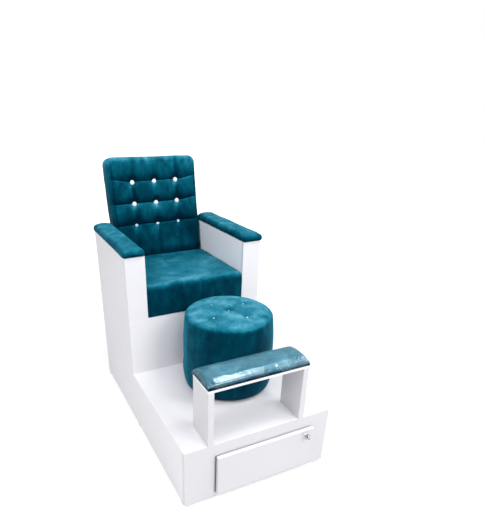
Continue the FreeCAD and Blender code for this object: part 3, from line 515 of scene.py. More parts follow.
def crystal(name, low, high, metallic):
    """Cut crystal over a foil back, with painted glints: its colour runs from low to high by a
    noise over the facets.
    """
    material, tree, shader = new_material(name)
    painted_glints = grain(tree, 160.0, 1.0)
    bright = ramp(tree, painted_glints, [(0.40, low), (0.56, high)])
    feed(tree, shader, {
        # Mixed towards teal by the stored painted shade, standing in for shade and the velvet's
        # reflection
        "Base Color": blend_colours(tree, nap_hem_and_painted_light(tree), bright, (0.16, 0.40, 0.52)),
        "Roughness": span(tree, painted_glints, 0.05, 0.14), "Metallic": metallic, "IOR": 1.6,
        "Coat Weight": 1.0, "Coat Roughness": 0.03,
        "Normal": bump(tree, [(grain(tree, 60.0, 1.0), 0.05, 0.0004)])})
    return material


def metal(name, tone, low, high, stretch=(1, 1, 1)):
    """Metal with fine handling marks."""
    material, tree, shader = new_material(name)
    marks = grain(tree, 240.0, 5.0, 0.7, stretch)
    feed(tree, shader, {
        "Base Color": ramp(tree, marks, [(0.3, darker(tone, 0.88)), (0.7, tone)]),
        "Roughness": span(tree, marks, low, high), "Metallic": 1.0,
        "Normal": bump(tree, [(marks, 0.12, 0.0002)])})
    return material


def board_material(name, light, dark, scale, stretch, rough):
    """Wood-based board with layered grain."""
    material, tree, shader = new_material(name)
    layers = grain(tree, scale, 6.0, 0.6, stretch, 0.4)
    pores = grain(tree, scale * 9, 3.0, 0.6, stretch)
    colour = ramp(tree, layers, [(0.34, dark), (0.66, light)])
    feed(tree, shader, {
        "Base Color": blend_colours(tree, span(tree, pores, 0.0, 0.25, 0.5, 0.8), colour,
                                    darker(dark, 0.7)),
        "Roughness": span(tree, layers, rough - 0.08, rough + 0.08),
        "Normal": bump(tree, [(pores, 0.15, 0.0003)])})
    return material


def plastic(name, tone, rough):
    """Moulded plastic with a fine texture."""
    material, tree, shader = new_material(name)
    cloud = grain(tree, 45.0, 3.0)
    feed(tree, shader, {
        "Base Color": ramp(tree, cloud, [(0.3, darker(tone, 0.93)), (0.7, tone)]),
        "Roughness": span(tree, cloud, rough - 0.07, rough + 0.07),
        "Normal": bump(tree, [(grain(tree, 800.0, 2.0), 0.10, 0.0002)])})
    return material


LACQUER_TONE = (0.955, 0.939, 0.979)
# Painted shade per piece: each share darkens or lightens the lacquer's straight-up faces to stand
# in for the light that piece gets
LACQUER_PAINTED_SHADES = {"base_front_panel": 0.705, "footrest_left_leg": 0.69,
                  "footrest_right_leg": 0.69, "riser_front_panel": 0.86,
                  "arm_left_inner_panel": 1.02, "arm_right_inner_panel": 1.02,
                  "arm_left_front_panel": 0.84, "arm_right_front_panel": 0.84}
VELVET_STOPS = [(0.0, (0.0, 0.013, 0.030)), (0.28, (0.0, 0.042, 0.072)),
                (0.5, (0.002, 0.098, 0.152)), (0.75, (0.022, 0.205, 0.302)),
                (1.0, (0.110, 0.400, 0.520))]
finishes = {
    # The second number of each lacquer is its painted shade on faces standing up straight
    "white_lacquer": lacquer("white_lacquer_finish", 0.87),
    "door_lacquer": lacquer("door_lacquer_finish", 0.70),
    "inner_board": board_material("inner_board_finish", (0.82, 0.82, 0.81), (0.76, 0.76, 0.75),
                                  60.0, (1, 0.15, 1), 0.45),
    "plywood": board_material("plywood_finish", (0.66, 0.48, 0.30), (0.48, 0.32, 0.18),
                              40.0, (0.12, 1, 1), 0.6),
    "teal_velvet": velvet("teal_velvet_finish", (1, 1, 0.5)),
    "rear_velvet": velvet("rear_velvet_finish", (1, 1, 0.3)),
    "clear_film": clear_film("clear_film_finish"),
    "crystal": crystal("crystal_finish", (0.93, 0.96, 0.98), (1.0, 1.0, 1.0), 0.0),
    "polished_metal": metal("polished_metal_finish", (0.80, 0.80, 0.82), 0.06, 0.16),
    # Dark steel, partly painted shade: the hinge is dark enough to also stand in for the shade in
    # the door's left gap
    "hinge_steel": metal("hinge_steel_finish", (0.22, 0.22, 0.225), 0.26, 0.40, (1, 1, 0.1)),
    "screw_steel": metal("screw_steel_finish", (0.64, 0.64, 0.62), 0.26, 0.42),
    "foot_plastic": plastic("foot_plastic_finish", (0.80, 0.80, 0.81), 0.45),
    "glide_plastic": plastic("glide_plastic_finish", (0.03, 0.03, 0.032), 0.5),
}
# The door's knob: dark, nearly metallic crystal with painted glints
knob_finish = crystal("knob_crystal_finish", (0.10, 0.095, 0.10), (0.62, 0.60, 0.62), 0.9)
for part in frame["record"]["subparts"]:
    node = frame["nodes"][part["node"]]
    for slot in node.material_slots:
        slot.material = finishes[part["material_slot"]]
# Lit and shaded copies of the lacquer, one for each piece, in the painted shades above
for name, shade in LACQUER_PAINTED_SHADES.items():
    for slot in frame["nodes"][name].material_slots:
        slot.material = lacquer(name + "_finish", shade)


def finish(obj, body, slot, nodes):
    """Give a piece its material, body and the nodes that it stands for."""
    obj.data.materials.append(finishes[slot])
    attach(obj, body)
    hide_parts(*nodes)


# Back
def column_gap(x):
    """Distance to the nearest column of buttons."""
    return np.min([np.abs(x - column) for column in TUFT_COLUMNS], axis=0)


def crease_rise(x, z):
    """How far the rows' creases arch up between their buttons and towards the sides."""
    outer = smooth_step(np.abs(x), TUFT_COLUMNS[-1] + 8, BACK_HALF - 5)
    total = np.zeros_like(x)
    for row, (left, right) in zip(TUFT_ROWS, EDGE_RISES):
        rise = 5.0 * (1 - np.exp(-column_gap(x) / 14)) + outer * np.where(x < 0, left, right)
        total += rise * np.exp(-((z - row) / 40) ** 2)
    return total


def by_column(x, shares):
    """The value that belongs to the nearest column of buttons."""
    near = np.argmin([np.abs(x - column) for column in TUFT_COLUMNS], axis=0)
    return np.asarray(shares)[near]


def tuck_depth(x, z):
    """How deep the back is drawn in at a place, by its tucks and buttons."""
    inner = 1 - 0.45 * smooth_step(np.abs(x), 190, 244)
    gap = column_gap(x)
    depth = np.zeros_like(x)
    for number, (low, high) in enumerate(PANELS):
        share = np.clip((z - low) / (high - low), 0, 1)
        curl = np.sqrt(np.clip(1 - (1 - share / 0.28) ** 2, 0, 1))
        slope = 1 - 0.9 * np.clip((share - 0.28) / 0.72, 0, 1) ** 1.6
        panel = 8.0 - 12.0 * np.where(share < 0.28, curl, slope)
        panel = panel * inner + 3.0 * inner * np.exp(-(high - z) / 3.0)
        hollow = (1 - smooth_step(share, 0.05, 0.8)) * (number > 0) \
            + 0.7 * smooth_step(share, 0.7, 1.0)
        tuck = by_column(x, TUCK_SHARES[number])
        panel += tuck * hollow * (5.0 * np.exp(-gap / 8) + 6.0 * np.exp(-(gap / 26) ** 2))
        depth = np.where((z >= low) & (z < high), panel, depth)
    for row_number, row in enumerate(TUFT_ROWS):
        for column_number, column in enumerate(TUFT_COLUMNS):
            across, rise = x - column, z - row
            reach = np.hypot(across, rise)
            turn = np.arctan2(rise, across)
            depth += 7.0 * np.exp(-(reach / 24) ** 1.6)
            depth += 1.0 * np.cos(7 * turn + column) * np.exp(-((reach - 20) / 13) ** 2)
            hang = np.where(rise < 0, np.exp(rise / 28), np.exp(-rise / 5))
            depth += 1.7 * FAN_SHARES[row_number][column_number] * hang \
                * np.cos(across * 2 * math.pi / PLEAT_PITCH) * np.exp(-(across / 15) ** 2)
    deep = TUFT_DEPTH - 5.0
    return np.where(depth > deep, deep + 5.0 * (1 - np.exp((deep - depth) / 5.0)), depth)


def back_nap_and_painted_light(x, z, gap):
    """Painted light and shade on the back's cover, with random nap patches; gap is from its left
    or right side.
    """
    # Painted highlight along the top, painted shade low down and just above the seat, and random
    # nap patches
    nap = 0.22 * smooth_step(z, 515, 580) * (0.75 + 0.5 * waves(x, z, 55, 31))
    nap = nap + 0.05 * smooth_step(z, TUFT_ROWS[-1], 510) + 0.05 * waves(x, z * 0.7, 80, 33)
    nap = nap - 0.05 * (z < TUFT_ROWS[0]) - 0.16 * (1 - smooth_step(z, 5, 130))
    nap -= 0.07 * (1 - smooth_step(z, TUFT_ROWS[-1] - 10, TUFT_ROWS[-1] + 10))
    nap -= 0.20 * (1 - smooth_step(z, 84, 125))
    # At each row: a painted highlight on the lip below its crease, painted shade in the hollow
    # above each button and painted highlights on the pleats below it
    for number, row in enumerate(TUFT_ROWS):
        up = z - row
        nap += np.where(up > 0, 0.03 * np.exp(-up / 14), 0.17 * np.exp(up / 4.5))
        for share, wide, column in zip(FAN_SHARES[number], FAN_WIDTHS[number], TUFT_COLUMNS):
            across = x - column
            hollow = np.exp(-(across / 19) ** 2) * np.exp(-((up - 17) / 18) ** 2)
            width = wide + 0.2 * np.clip(-up, 0, 60)
            fall = np.where(up < 0, np.exp(np.minimum(up + 12.0, 0) / 20), 0.0)
            painted_fan_highlight = np.exp(-(across / width) ** 2) * fall
            nap -= 0.38 * hollow
            pleats = 0.66 + 0.34 * np.cos(across * 2 * math.pi / PLEAT_PITCH)
            nap += 0.60 * share * painted_fan_highlight * pleats
    # Painted light and shade across each panel, lighter towards its top, and in each tuck a lit
    # side and a shaded side
    for number, (low, high) in enumerate(PANELS):
        inside = smooth_step(z, low, low + 14) * (1 - smooth_step(z, high - 14, high))
        if 0 < number < 3:
            nap += 0.14 * inside * ((z - low) / (high - low) - 0.55)
        for share, column in zip(TUCK_SHARES[number], TUFT_COLUMNS):
            across = x - column
            nap += share * inside * (0.12 * np.exp(-((across + 13) / 9) ** 2)
                                     - 0.24 * np.exp(-((across - 5) / 12) ** 2))
    # Painted light on the left side strip, and a painted shaded line just inside it
    left = (x < 0) * 1.0
    nap += 0.10 * left * (1 - smooth_step(gap, 4, 16))
    line = np.exp(-((gap - 20) / 4.5) ** 2) * smooth_step(z, 40, 120)
    return nap - 0.14 * left * line * (1 - smooth_step(z, 540, 575))


def tuck_hold(x, z):
    """How firmly the back's cover is held at a place, from 0 to 1."""
    row_gap = np.min([np.abs(z - row) for row in TUFT_ROWS], axis=0)
    spot = np.min([np.hypot(x - column, z - row) for column in TUFT_COLUMNS
                   for row in TUFT_ROWS], axis=0)
    held = np.exp(-(spot / 18) ** 2)
    held = np.maximum(held, 0.9 * np.exp(-(row_gap / 6) ** 2))
    return np.maximum(held, 0.8 * np.exp(-(column_gap(x) / 5) ** 2) * (z > 180))


def fuller(x, z):
    """Fill the back's outline out at its top, its left and low on its right."""
    x = x - 7.0 * smooth_step(z, 170, 340) * smooth_step(-x, 90, BACK_HALF)
    x = x + 3.5 * (1 - smooth_step(z, 230, 330)) * smooth_step(x, 150, BACK_HALF)
    rise = 6.0 * smooth_step(-x, -60, 215) - 3.0 * smooth_step(x, 110, 230)
    return x, z + rise * smooth_step(z, 400, BACK_HEIGHT - 12)


def make_back():
    """The tufted back cushion with boxed sides, drawn round the edges of its board."""
    near = (-8, -4, -1.5, 1.5, 4, 8)
    rim = BACK_HALF - BACK_COVER
    full = BACK_FOAM + BACK_BOARD
    xs = spaced(-BACK_HALF, BACK_HALF, 5.5, TUFT_COLUMNS + (-rim + 0.3, rim - 0.3), near[2:4])
    ys = spaced(0, full, 6.5, (BACK_FOAM, full), (-1.5, -0.5, 0.1))
    zs = spaced(0, BACK_HEIGHT, 5.5, TUFT_ROWS, near)
    pocket_top = BACK_HEIGHT - BACK_COVER
    zs = np.array(sorted(list(zs[zs < BACK_HEIGHT - 7])
                         + [pocket_top - 0.3, pocket_top + 0.2, BACK_HEIGHT]))
    points, faces = shell_of(xs, ys, zs)
    x, y, z = points.T
    pocket = (y > BACK_FOAM) & (np.abs(x) < rim) & (z < pocket_top)
    side = np.where(x < 0, -1.0, 1.0)
    across, z = round_plan(np.abs(x), z, BACK_HALF, BACK_HEIGHT, BACK_CORNER)
    gap, out_x, out_z = plan_edge(across, z, BACK_HALF, BACK_HEIGHT, BACK_CORNER)
    new_gap, new_y = round_edge(gap, y, *BACK_ROUNDING)
    rear_gap, rear_y = round_edge(gap, full - y, *BACK_REAR_ROUNDING)
    y = np.where(y < full / 2, new_y, full - rear_y)
    moved = np.where(y < full / 2, new_gap, rear_gap) - gap
    across, z = across - moved * out_x, z - moved * out_z
    y = np.where(pocket, BACK_FOAM + 0.1, y)
    x = side * across
    front = np.clip(1 - y / 34, 0, 1)
    inward = smooth_step(new_gap, 1, 24)
    held = np.where(y > 34, 1.0, tuck_hold(x, z))
    # Painted light and shade for the back's cover, with random nap patches, stored on it below
    nap = back_nap_and_painted_light(x, z, np.where(y < 30, BACK_HALF - np.abs(x), 0.0))
    y = y + front * (inward * tuck_depth(x, z) - 1.0)
    y = y + front * 1.2 * waves(x, z, 90, 4)
    z = z + front * crease_rise(x, z)
    full_x, full_z = fuller(x, z)
    x, z = np.where(pocket, x, full_x), np.where(pocket, z, full_z)
    flank = np.clip(across - rim, 0, BACK_COVER) / BACK_COVER
    seam = np.exp(-((y - BACK_SEAM) / 2.4) ** 2) * flank
    x = x - side * (2.0 * seam + flank * 0.8 * waves(y * 1.5, z, 70, 6))
    obj = add_object("back_upholstery", in_frame(on_back(np.stack([x, y, z], axis=1))), faces)
    store_nap_hem_and_painted_light(obj, nap)
    swell(obj, held, 3.0, 0.012, 6)
    tidy_mesh(obj)
    subdivide(obj)
    finish(obj, "platform", "teal_velvet", ["back_cushion"])


def make_rear_panel():
    """The thin covered panel behind the back board."""
    half, high = BACK_HALF - REAR_INSET, BACK_HEIGHT - REAR_INSET
    low = -(BACK_BASE - RISER - (BACK_FOAM + BACK_BOARD + REAR_THICKNESS)
            * math.sin(BACK_TILT)) / math.cos(BACK_TILT)
    start = BACK_FOAM + BACK_BOARD + 0.02
    stop = start + REAR_THICKNESS
    points, faces = shell_of(spaced(-half, half, 12), np.linspace(start, stop, 4),
                             spaced(low, high, 12))
    form = rounded(points, (-half, start, low), (half, stop, high), (2, 0.2, 2), (2, 2, 2))
    x, y, z = form.T
    side = np.where(x < 0, -1.0, 1.0)
    across, z = round_plan(np.abs(x), z, half, high, BACK_CORNER - REAR_INSET)
    x = side * across
    outer = y > start + 1.5
    edge = np.minimum(half - np.abs(x), np.minimum(high - z, z - low))
    y = y + outer * (1.2 * smooth_step(edge, 4, 60) + 0.25 * waves(x, z, 120, 9))
    y = y - outer * 0.8 * np.exp(-((edge - 9) / 2.5) ** 2)
    x, z = fuller(x, z)
    obj = add_object("rear_upholstery", in_frame(on_back(np.stack([x, y, z], axis=1))), faces)
    subdivide(obj)
    finish(obj, "platform", "rear_velvet", ["back_rear_cover"])


# Seat
def make_seat():
    """The seat cushion, whose tall front hangs over the front of its frame."""
    front, low = DECK_LENGTH - 3.5, RISER + SOFT_GAP
    rear = BACK_FRONT + (SEAT_TOP - BACK_BASE) * math.tan(BACK_TILT) - 1.0
    xs = spaced(-SEAT_HALF, SEAT_HALF, 6.5, (SEAT_HALF, -SEAT_HALF), (-8, -5, -2.5, 2.5, 5, 8))
    ys = spaced(front, rear, 6.5, (SEAT_FRAME_FRONT,), (-1.2, 1.2))
    zs = spaced(low, SEAT_TOP, 6.5)
    points, faces = shell_of(xs, ys, zs)
    x, y, z = points.T
    sunk = y > SEAT_FRAME_FRONT
    rise = (z - low) / (SEAT_TOP - low)
    back_along, z = round_plan(-y, z, -front, SEAT_TOP, SEAT_NOSE)
    y = -back_along
    top = smooth_step(z, SEAT_TOP - 34, SEAT_TOP - 6)
    fore = 1 - smooth_step(y, front + 4, front + 34)
    over = np.clip(np.abs(x) - (SEAT_HALF - SEAT_EDGE), 0, SEAT_EDGE)
    inset = SEAT_EDGE - np.sqrt(SEAT_EDGE ** 2 - over ** 2)
    along = np.clip((y - front) / (rear - front), 0, 1)
    inward = smooth_step(SEAT_HALF - np.abs(x), -12, 60)
    crown = 8.0 * np.sin(along * math.pi) ** 0.8 * inward - 1.5 * along
    dip = np.exp(-((x + 35) / 80) ** 2)
    crown += 4.5 * dip * np.exp(-((y - front) / 60) ** 2)
    z = np.where(sunk, SEAT_FRAME_TOP + (z - low) * (SEAT_TOP - SEAT_FRAME_TOP)
                 / (SEAT_TOP - low), z)
    z = z + top * (crown - inset + 1.0 * waves(x, y, 130, 2))
    bulge = 2.5 * np.sin(np.clip(rise, 0, 1) * math.pi) * inward
    y = y + fore * (inset - bulge + 0.8 * waves(x, z * 0.5, 95, 3))
    y = y + fore * 3.0 * dip * smooth_step(z, 690, 735)
    y = np.minimum(y, BACK_FRONT + (z - BACK_BASE) * math.tan(BACK_TILT) - 1.0)
    points = np.stack([WIDTH / 2 + x, y, z], axis=1)
    obj = add_object("seat_upholstery", in_frame(points), faces)
    # Painted highlight along a crest behind the front edge and painted shade on the front
    # rounding; random nap patches; the front a little darker with patches; the top darker at the
    # left, with painted shade towards the back cushion
    painted_ridge_highlight = np.exp(-((y - front - 32 - 8 * dip) / 20) ** 2) * top
    painted_ridge_highlight = painted_ridge_highlight * (1 - 0.5 * smooth_step(x, 20, 180))
    nap = 0.17 * painted_ridge_highlight * (0.7 + 0.6 * waves(x, y * 2, 70, 41)) + 0.06 * top * waves(x, y, 150, 42)
    nap -= 0.16 * np.exp(-((y - front - 5) / 10) ** 2) * smooth_step(z, 700, 722)
    nap -= fore * (1 - top) * (0.03 - 0.05 * waves(x, z * 0.35, 60, 43))
    nap -= 0.05 * top * smooth_step(-x, 60, 200) * (1 - painted_ridge_highlight)
    store_nap_hem_and_painted_light(obj, nap - 0.18 * top * smooth_step(y, rear - 240, rear - 20))
    held = np.where((rise < 0.05) | (y > rear - 12), 1.0, 0.0)
    held = np.maximum(held, np.where(sunk & (z < SEAT_FRAME_TOP + 8), 1.0, 0.0))
    held = np.maximum(held, 0.9 * (np.abs(x) > SEAT_HALF - 3))
    swell(obj, held, 3.0, 0.01, 7)
    subdivide(obj)
    finish(obj, "platform", "teal_velvet", ["seat_cushion"])


# Arm pads
def make_arm_pad(name, left, outer_first, node):
    """A pad on an arm: drawn in underneath, crowned on top, rounded at its rear corners."""
    lips = (11.0, 3.0) if outer_first else (3.0, 11.0)
    x0, x1 = -lips[0], ARM_WIDTH + lips[1]
    y0, y1 = -11.0, DEPTH - DECK_LENGTH + 15.0
    low, high = SOFT_GAP, 32.0
    points, faces = shell_of(spaced(x0, x1, 5.0), spaced(y0, y1, 6.0), spaced(low, high, 4.5))
    form = rounded(points, (x0, y0, low), (x1, y1, high), (17, 17, 8), (17, 22, 20))
    x, y, z = form.T
    middle, half = (x0 + x1) / 2, (x1 - x0) / 2
    side = np.where(x < middle, -1.0, 1.0)
    across, along = round_plan(np.abs(x - middle), y, half, y1, 42.0)
    across, along = round_plan(across, -along, half, -y0, 13.0)
    x, y = middle + side * across, -along
    share = np.clip(np.abs(x - middle) / half, 0, 1)
    top = smooth_step(z, 12, 30)
    z = z + top * (1.8 * (1 - share ** 2) + 0.5 * waves(x, y, 90, 5 + int(outer_first)))
    points = np.stack([left + x, DECK_LENGTH + y, ARM_TOP + z], axis=1)
    obj = add_object(name, in_frame(points), faces)
    # Random nap patches, painted shade along the bottom edge where it curves under, and darker
    # towards the front, more so on the left pad
    store_nap_hem_and_painted_light(obj, 0.01 + 0.07 * top * waves(x, y, 60, 51 + int(outer_first))
          - 0.12 * (1 - smooth_step(z, 3, 12))
          - (0.13 if outer_first else 0.05) * top * (1 - smooth_step(y, 30, 190)))
    held = np.where(z < 4, 1.0, 0.0)
    swell(obj, held, 2.0, 0.008, 3)
    subdivide(obj)
    finish(obj, "platform", "teal_velvet", [node])


# Footrest
def dome(x, y, margin=0.0):
    """Height of the footrest pad over its board."""
    half = PAD_HALF + margin
    along = np.clip((y + PAD_OVER + margin) / (ARCH_DEPTH + 2 * PAD_OVER + 2 * margin), 0, 1)
    rise = np.sqrt(np.clip(1 - np.abs(2 * along - 1) ** 2.2, 0, 1))
    end = np.clip((half - np.abs(x)) / 36.0, 0, 1)
    full = np.sqrt(np.clip(1 - (1 - end) ** 2.4, 0, 1))
    return PAD_SIDE + margin + PAD_CROWN * rise * (0.16 + 0.84 * full)


def make_footrest_pad():
    """The domed pad on the arch."""
    rear = ARCH_DEPTH + PAD_OVER
    xs, ys = spaced(-PAD_HALF, PAD_HALF, 5.5)[1:-1], spaced(-PAD_OVER, rear, 5.0)[1:-1]
    lip = np.array([0.0, 0.55, 0.65])
    xs = np.concatenate([lip - PAD_HALF, xs, PAD_HALF - lip[::-1]])
    ys = np.concatenate([lip - PAD_OVER, ys, rear - lip[::-1]])
    points, faces = shell_of(xs, ys, np.linspace(0, 1, 4))
    x, y, share = points.T
    edge = np.minimum(PAD_HALF - np.abs(x), np.minimum(y + PAD_OVER, rear - y))
    z = SOFT_GAP + share * (dome(x, y) - SOFT_GAP)
    z = z + share * 0.5 * waves(x, y, 70, 8)
    z = np.where((share == 0) & (edge < 0.6), -PAD_LIP, z)
    points = np.stack([ARCH_MIDDLE + x, y, ARCH_TOP + z], axis=1)
    obj = add_object("footrest_upholstery", in_frame(points), faces)
    # Random nap patches, lighter towards the right end and darker towards the left end, and
    # painted shade along the lower edge
    store_nap_hem_and_painted_light(obj, 0.02 + 0.05 * waves(x, y, 70, 61) + 0.06 * smooth_step(x, 0, PAD_HALF)
          - 0.07 * smooth_step(-x, 120, PAD_HALF) - 0.45 * (1 - smooth_step(z, 3, 9)))
    subdivide(obj)
    finish(obj, "platform", "teal_velvet", ["footrest_pad"])


def make_film():
    """The clear film stretched over the pad and folded down over the board's edges."""
    half = PAD_HALF + FILM_MARGIN
    front, rear = -PAD_OVER - FILM_MARGIN, ARCH_DEPTH + PAD_OVER + FILM_MARGIN
    x, y = np.meshgrid(spaced(-half - FILM_HEM, half + FILM_HEM, 3.4),
                       spaced(front - FILM_HEM, rear + FILM_HEM, 3.4), indexing="ij")
    over_x = np.clip(np.abs(x) - half, 0, None)
    over_front = np.clip(front - y, 0, None)
    over_rear = np.clip(y - rear, 0, None)
    inner_x, inner_y = np.clip(x, -half, half), np.clip(y, front, rear)
    z = dome(inner_x, inner_y, FILM_MARGIN)
    taut = dome(np.clip(inner_x, 20 - half, half - 20), SHOULDER_Y) \
        + math.tan(SHOULDER) * (inner_y - SHOULDER_Y)
    z = np.minimum(z, np.maximum(taut, dome(inner_x, inner_y)) + 0.8)
    over = over_x + over_front + over_rear
    crinkle = waves(x, y * 0.5, 26, 21) * 0.45 + waves(x, y, 11, 22) * 0.14
    slack = smooth_step(np.abs(inner_y - ARCH_DEPTH / 2), 25, 66) * (0.4 + 0.6 * (inner_y > 60))
    z = np.where(over > 0, 6.0 - np.minimum(over, FILM_HEM) * 1.15, z)
    z = z + np.where(over > 0, 0.0, 1.0) * np.abs(crinkle) * (0.35 + 0.9 * slack)
    flare = np.where(over > 0, 0.25 + 0.7 * np.abs(waves(x, y, 17, 23)), 0.0)
    px = inner_x + np.sign(x) * np.where(over_x > 0, flare, 0)
    py = inner_y + np.where(over_rear > 0, flare, 0) - np.where(over_front > 0, flare, 0)
    points = np.stack([ARCH_MIDDLE + px, py, ARCH_TOP + z], axis=-1)
    faces = quads_of(np.arange(x.size).reshape(x.shape))
    obj = add_object("footrest_wrap", in_frame(points.reshape(-1, 3)), faces)
    store_nap_hem_and_painted_light(obj, np.where((over > 0) | (z < 9), 1.0, 0.0).ravel())
    solid = obj.modifiers.new("Thickness", "SOLIDIFY")
    solid.thickness = 0.0004
    solid.offset = 1.0
    finish(obj, "platform", "clear_film", ["footrest_film_cover"])


# Stool
def stool_spots():
    """Places of the stool's buttons from its middle."""
    spots = [(0.0, 0.0)]
    for step in range(4):
        turn = STOOL_TUFT_TURN + step * math.pi / 2
        spots.append((STOOL_TUFT_CIRCLE * math.cos(turn), STOOL_TUFT_CIRCLE * math.sin(turn)))
    return spots


def make_stool():
    """The round stool: barrel sides, a crowned buttoned top and a soft rim."""
    low, high, rim = STOOL_LOW, STOOL_HEIGHT, STOOL_RIM
    xs = spaced(-1, 1, 5.5 / 200)
    points, faces = shell_of(xs, xs, spaced(low, high, 7.5))
    across, along, z = points.T
    ring = np.maximum(np.abs(across), np.abs(along))
    length = np.maximum(np.hypot(across, along), 1e-9)
    turn = np.arctan2(along, across)
    up = (z - low) / (high - low)
    side = STOOL_FOOT + (STOOL_SHOULDER - STOOL_FOOT) * up
    side += (STOOL_BELLY - (STOOL_FOOT + STOOL_SHOULDER) / 2) * 4 * up * (1 - up)
    side += STOOL_FOOT_FULLNESS * (1 - smooth_step(z, 75, 155))
    over = np.clip(z - (high - rim), 0, rim)
    edge = side - rim + np.sqrt(np.clip(rim ** 2 - over ** 2, 0, None))
    foot = STOOL_FOOT_ROUNDING
    under = np.clip(low + foot - z, 0, foot)
    edge -= foot - np.sqrt(np.clip(foot ** 2 - under ** 2, 0, None))
    outer = ring > 0.999
    radius = np.where(outer, edge, ring * edge)
    x, y = radius * across / length, radius * along / length
    top = z > high - 0.1
    share = np.clip(radius / (STOOL_SHOULDER - rim), 0, 1)
    rise = STOOL_CROWN * (1 - share ** 2.6)
    # The top: darker towards the front, with random nap patches
    nap = 0.14 - 0.09 * smooth_step(-y, -20, 150) + 0.07 * waves(x, y, 85, 71)
    for column, (sx, sy) in enumerate(stool_spots()):
        dx, dy = x - sx, y - sy
        reach = np.hypot(dx, dy)
        fold = np.arctan2(dy, dx)
        rise -= (13.5 if column else 14.5) * np.exp(-(reach / 21) ** 1.25)
        rise += 1.2 * np.cos(7 * fold + column) * np.exp(-((reach - 20) / 15) ** 2)
        # Painted shade in each button's dimple, and below in its groove
        nap -= 0.25 * np.exp(-(reach / 13) ** 2)
        if column:
            line = np.abs(dx * sy - dy * sx) / math.hypot(sx, sy)
            within = (x * sx + y * sy) / math.hypot(sx, sy)
            groove = np.where(within > 0, np.exp(-line / 9), 0) \
                * (1 - 0.6 * smooth_step(within, STOOL_TUFT_CIRCLE, STOOL_SHOULDER - 20))
            rise -= 3.2 * groove
            nap -= 0.09 * groove
    rise += 1.2 * waves(x, y, 75, 11) * (1 - share ** 4)
    z = z + np.where(top, rise, 0.0)
    # Painted light and shade on the sides: lighter towards the limbs, darker at the left edge and
    # overall, painted shade under the rim, lighter on the right, low down and at the lower left,
    # with random nap patches
    limb = 1 - np.clip(np.cos(turn + math.radians(98)), 0, 1)
    below = np.clip(high - rim - z, 0, None)
    far = np.where(turn > math.pi / 2, turn - 2 * math.pi, turn) + math.radians(207)
    lower_left = smooth_step(limb, 0.3, 0.7) - 1.7 * smooth_step(limb, 0.8, 1.0)
    sides = 0.24 * limb ** 1.1 - 0.15 * np.exp(-(far / 0.36) ** 2) \
        - 0.09 - 0.06 * np.exp(-below / 22) * (1 - limb) \
        + 0.05 * waves(turn * 200, z * 0.5, 80, 72) \
        + 0.17 * smooth_step(turn, math.radians(-78), math.radians(-54)) \
        + 0.15 * (1 - limb) * (1 - smooth_step(z, 30, 130)) \
        + 0.12 * lower_left * (across < 0) * (1 - smooth_step(z, 80, 220))
    nap = np.where(top, nap, sides * smooth_step(high - z, 4, 32))
    seam = np.exp(-((z - (high - rim - 6)) / 2.6) ** 2)
    wobble = 0.8 * np.sin(9 * turn + 1) * np.sin(14 * turn) * np.exp(-(high - z) / 60)
    swing = np.where(outer & ~top, wobble - 1.2 * seam + 0.7 * waves(turn * 200, z, 150, 12), 0)
    x, y = x + swing * across / length, y + swing * along / length
    points = np.stack([STOOL_X + x, STOOL_Y + y, DECK + z], axis=1)
    obj = add_object("stool_upholstery", in_frame(points), faces)
    store_nap_hem_and_painted_light(obj, nap)
    spot = np.min([np.hypot(x - sx, y - sy) for sx, sy in stool_spots()], axis=0)
    held = np.where(top, np.exp(-(spot / 15) ** 2), 0.0)
    held = np.where(z < 30, 1.0, held)
    swell(obj, held, 2.0, 0.006, 4)
    subdivide(obj)
    finish(obj, "stool", "teal_velvet", ["stool_drum"])


# Crystals
def ring_stack(sides, rings, turned):
    """Points and faces of a closed stack of (radius, height) rings.

    Turned rings stand half a step from each other and are joined by triangles.
    """
    points, faces = [], []
    for level, (radius, up) in enumerate(rings):
        for step in range(sides):
            turn = 2 * math.pi * (step + 0.5 * (level % 2) * turned) / sides
            points.append((radius * math.cos(turn), radius * math.sin(turn), up))
    for level in range(len(rings) - 1):
        for step in range(sides):
            after = (step + 1) % sides
            a, b = level * sides + step, level * sides + after
            c, d = a + sides, b + sides
            if not turned:
                faces.append((a, b, d, c))
            elif level % 2:
                faces += [(a, b, d), (a, d, c)]
            else:
                faces += [(a, b, c), (b, d, c)]
    last = (len(rings) - 1) * sides
    return points, faces + [tuple(range(sides))[::-1], tuple(range(last, last + sides))]


def stone(sides, radius, height, shares):
    """A cut stone whose rings are shares of its radius and height."""
    return ring_stack(sides, [(radius * across, height * up) for across, up in shares], True)


def join_copies(name, points, faces, places):
    """Join turned and moved copies of a small mesh into one object."""
    all_points, all_faces = [], []
    for matrix in places:
        moved = [matrix @ Vector(point) for point in points]
        offset = len(all_points)
        all_points += moved
        all_faces += [tuple(i + offset for i in face) for face in faces]
    return add_object(name, in_frame([tuple(p) for p in all_points]), all_faces, smooth=False)


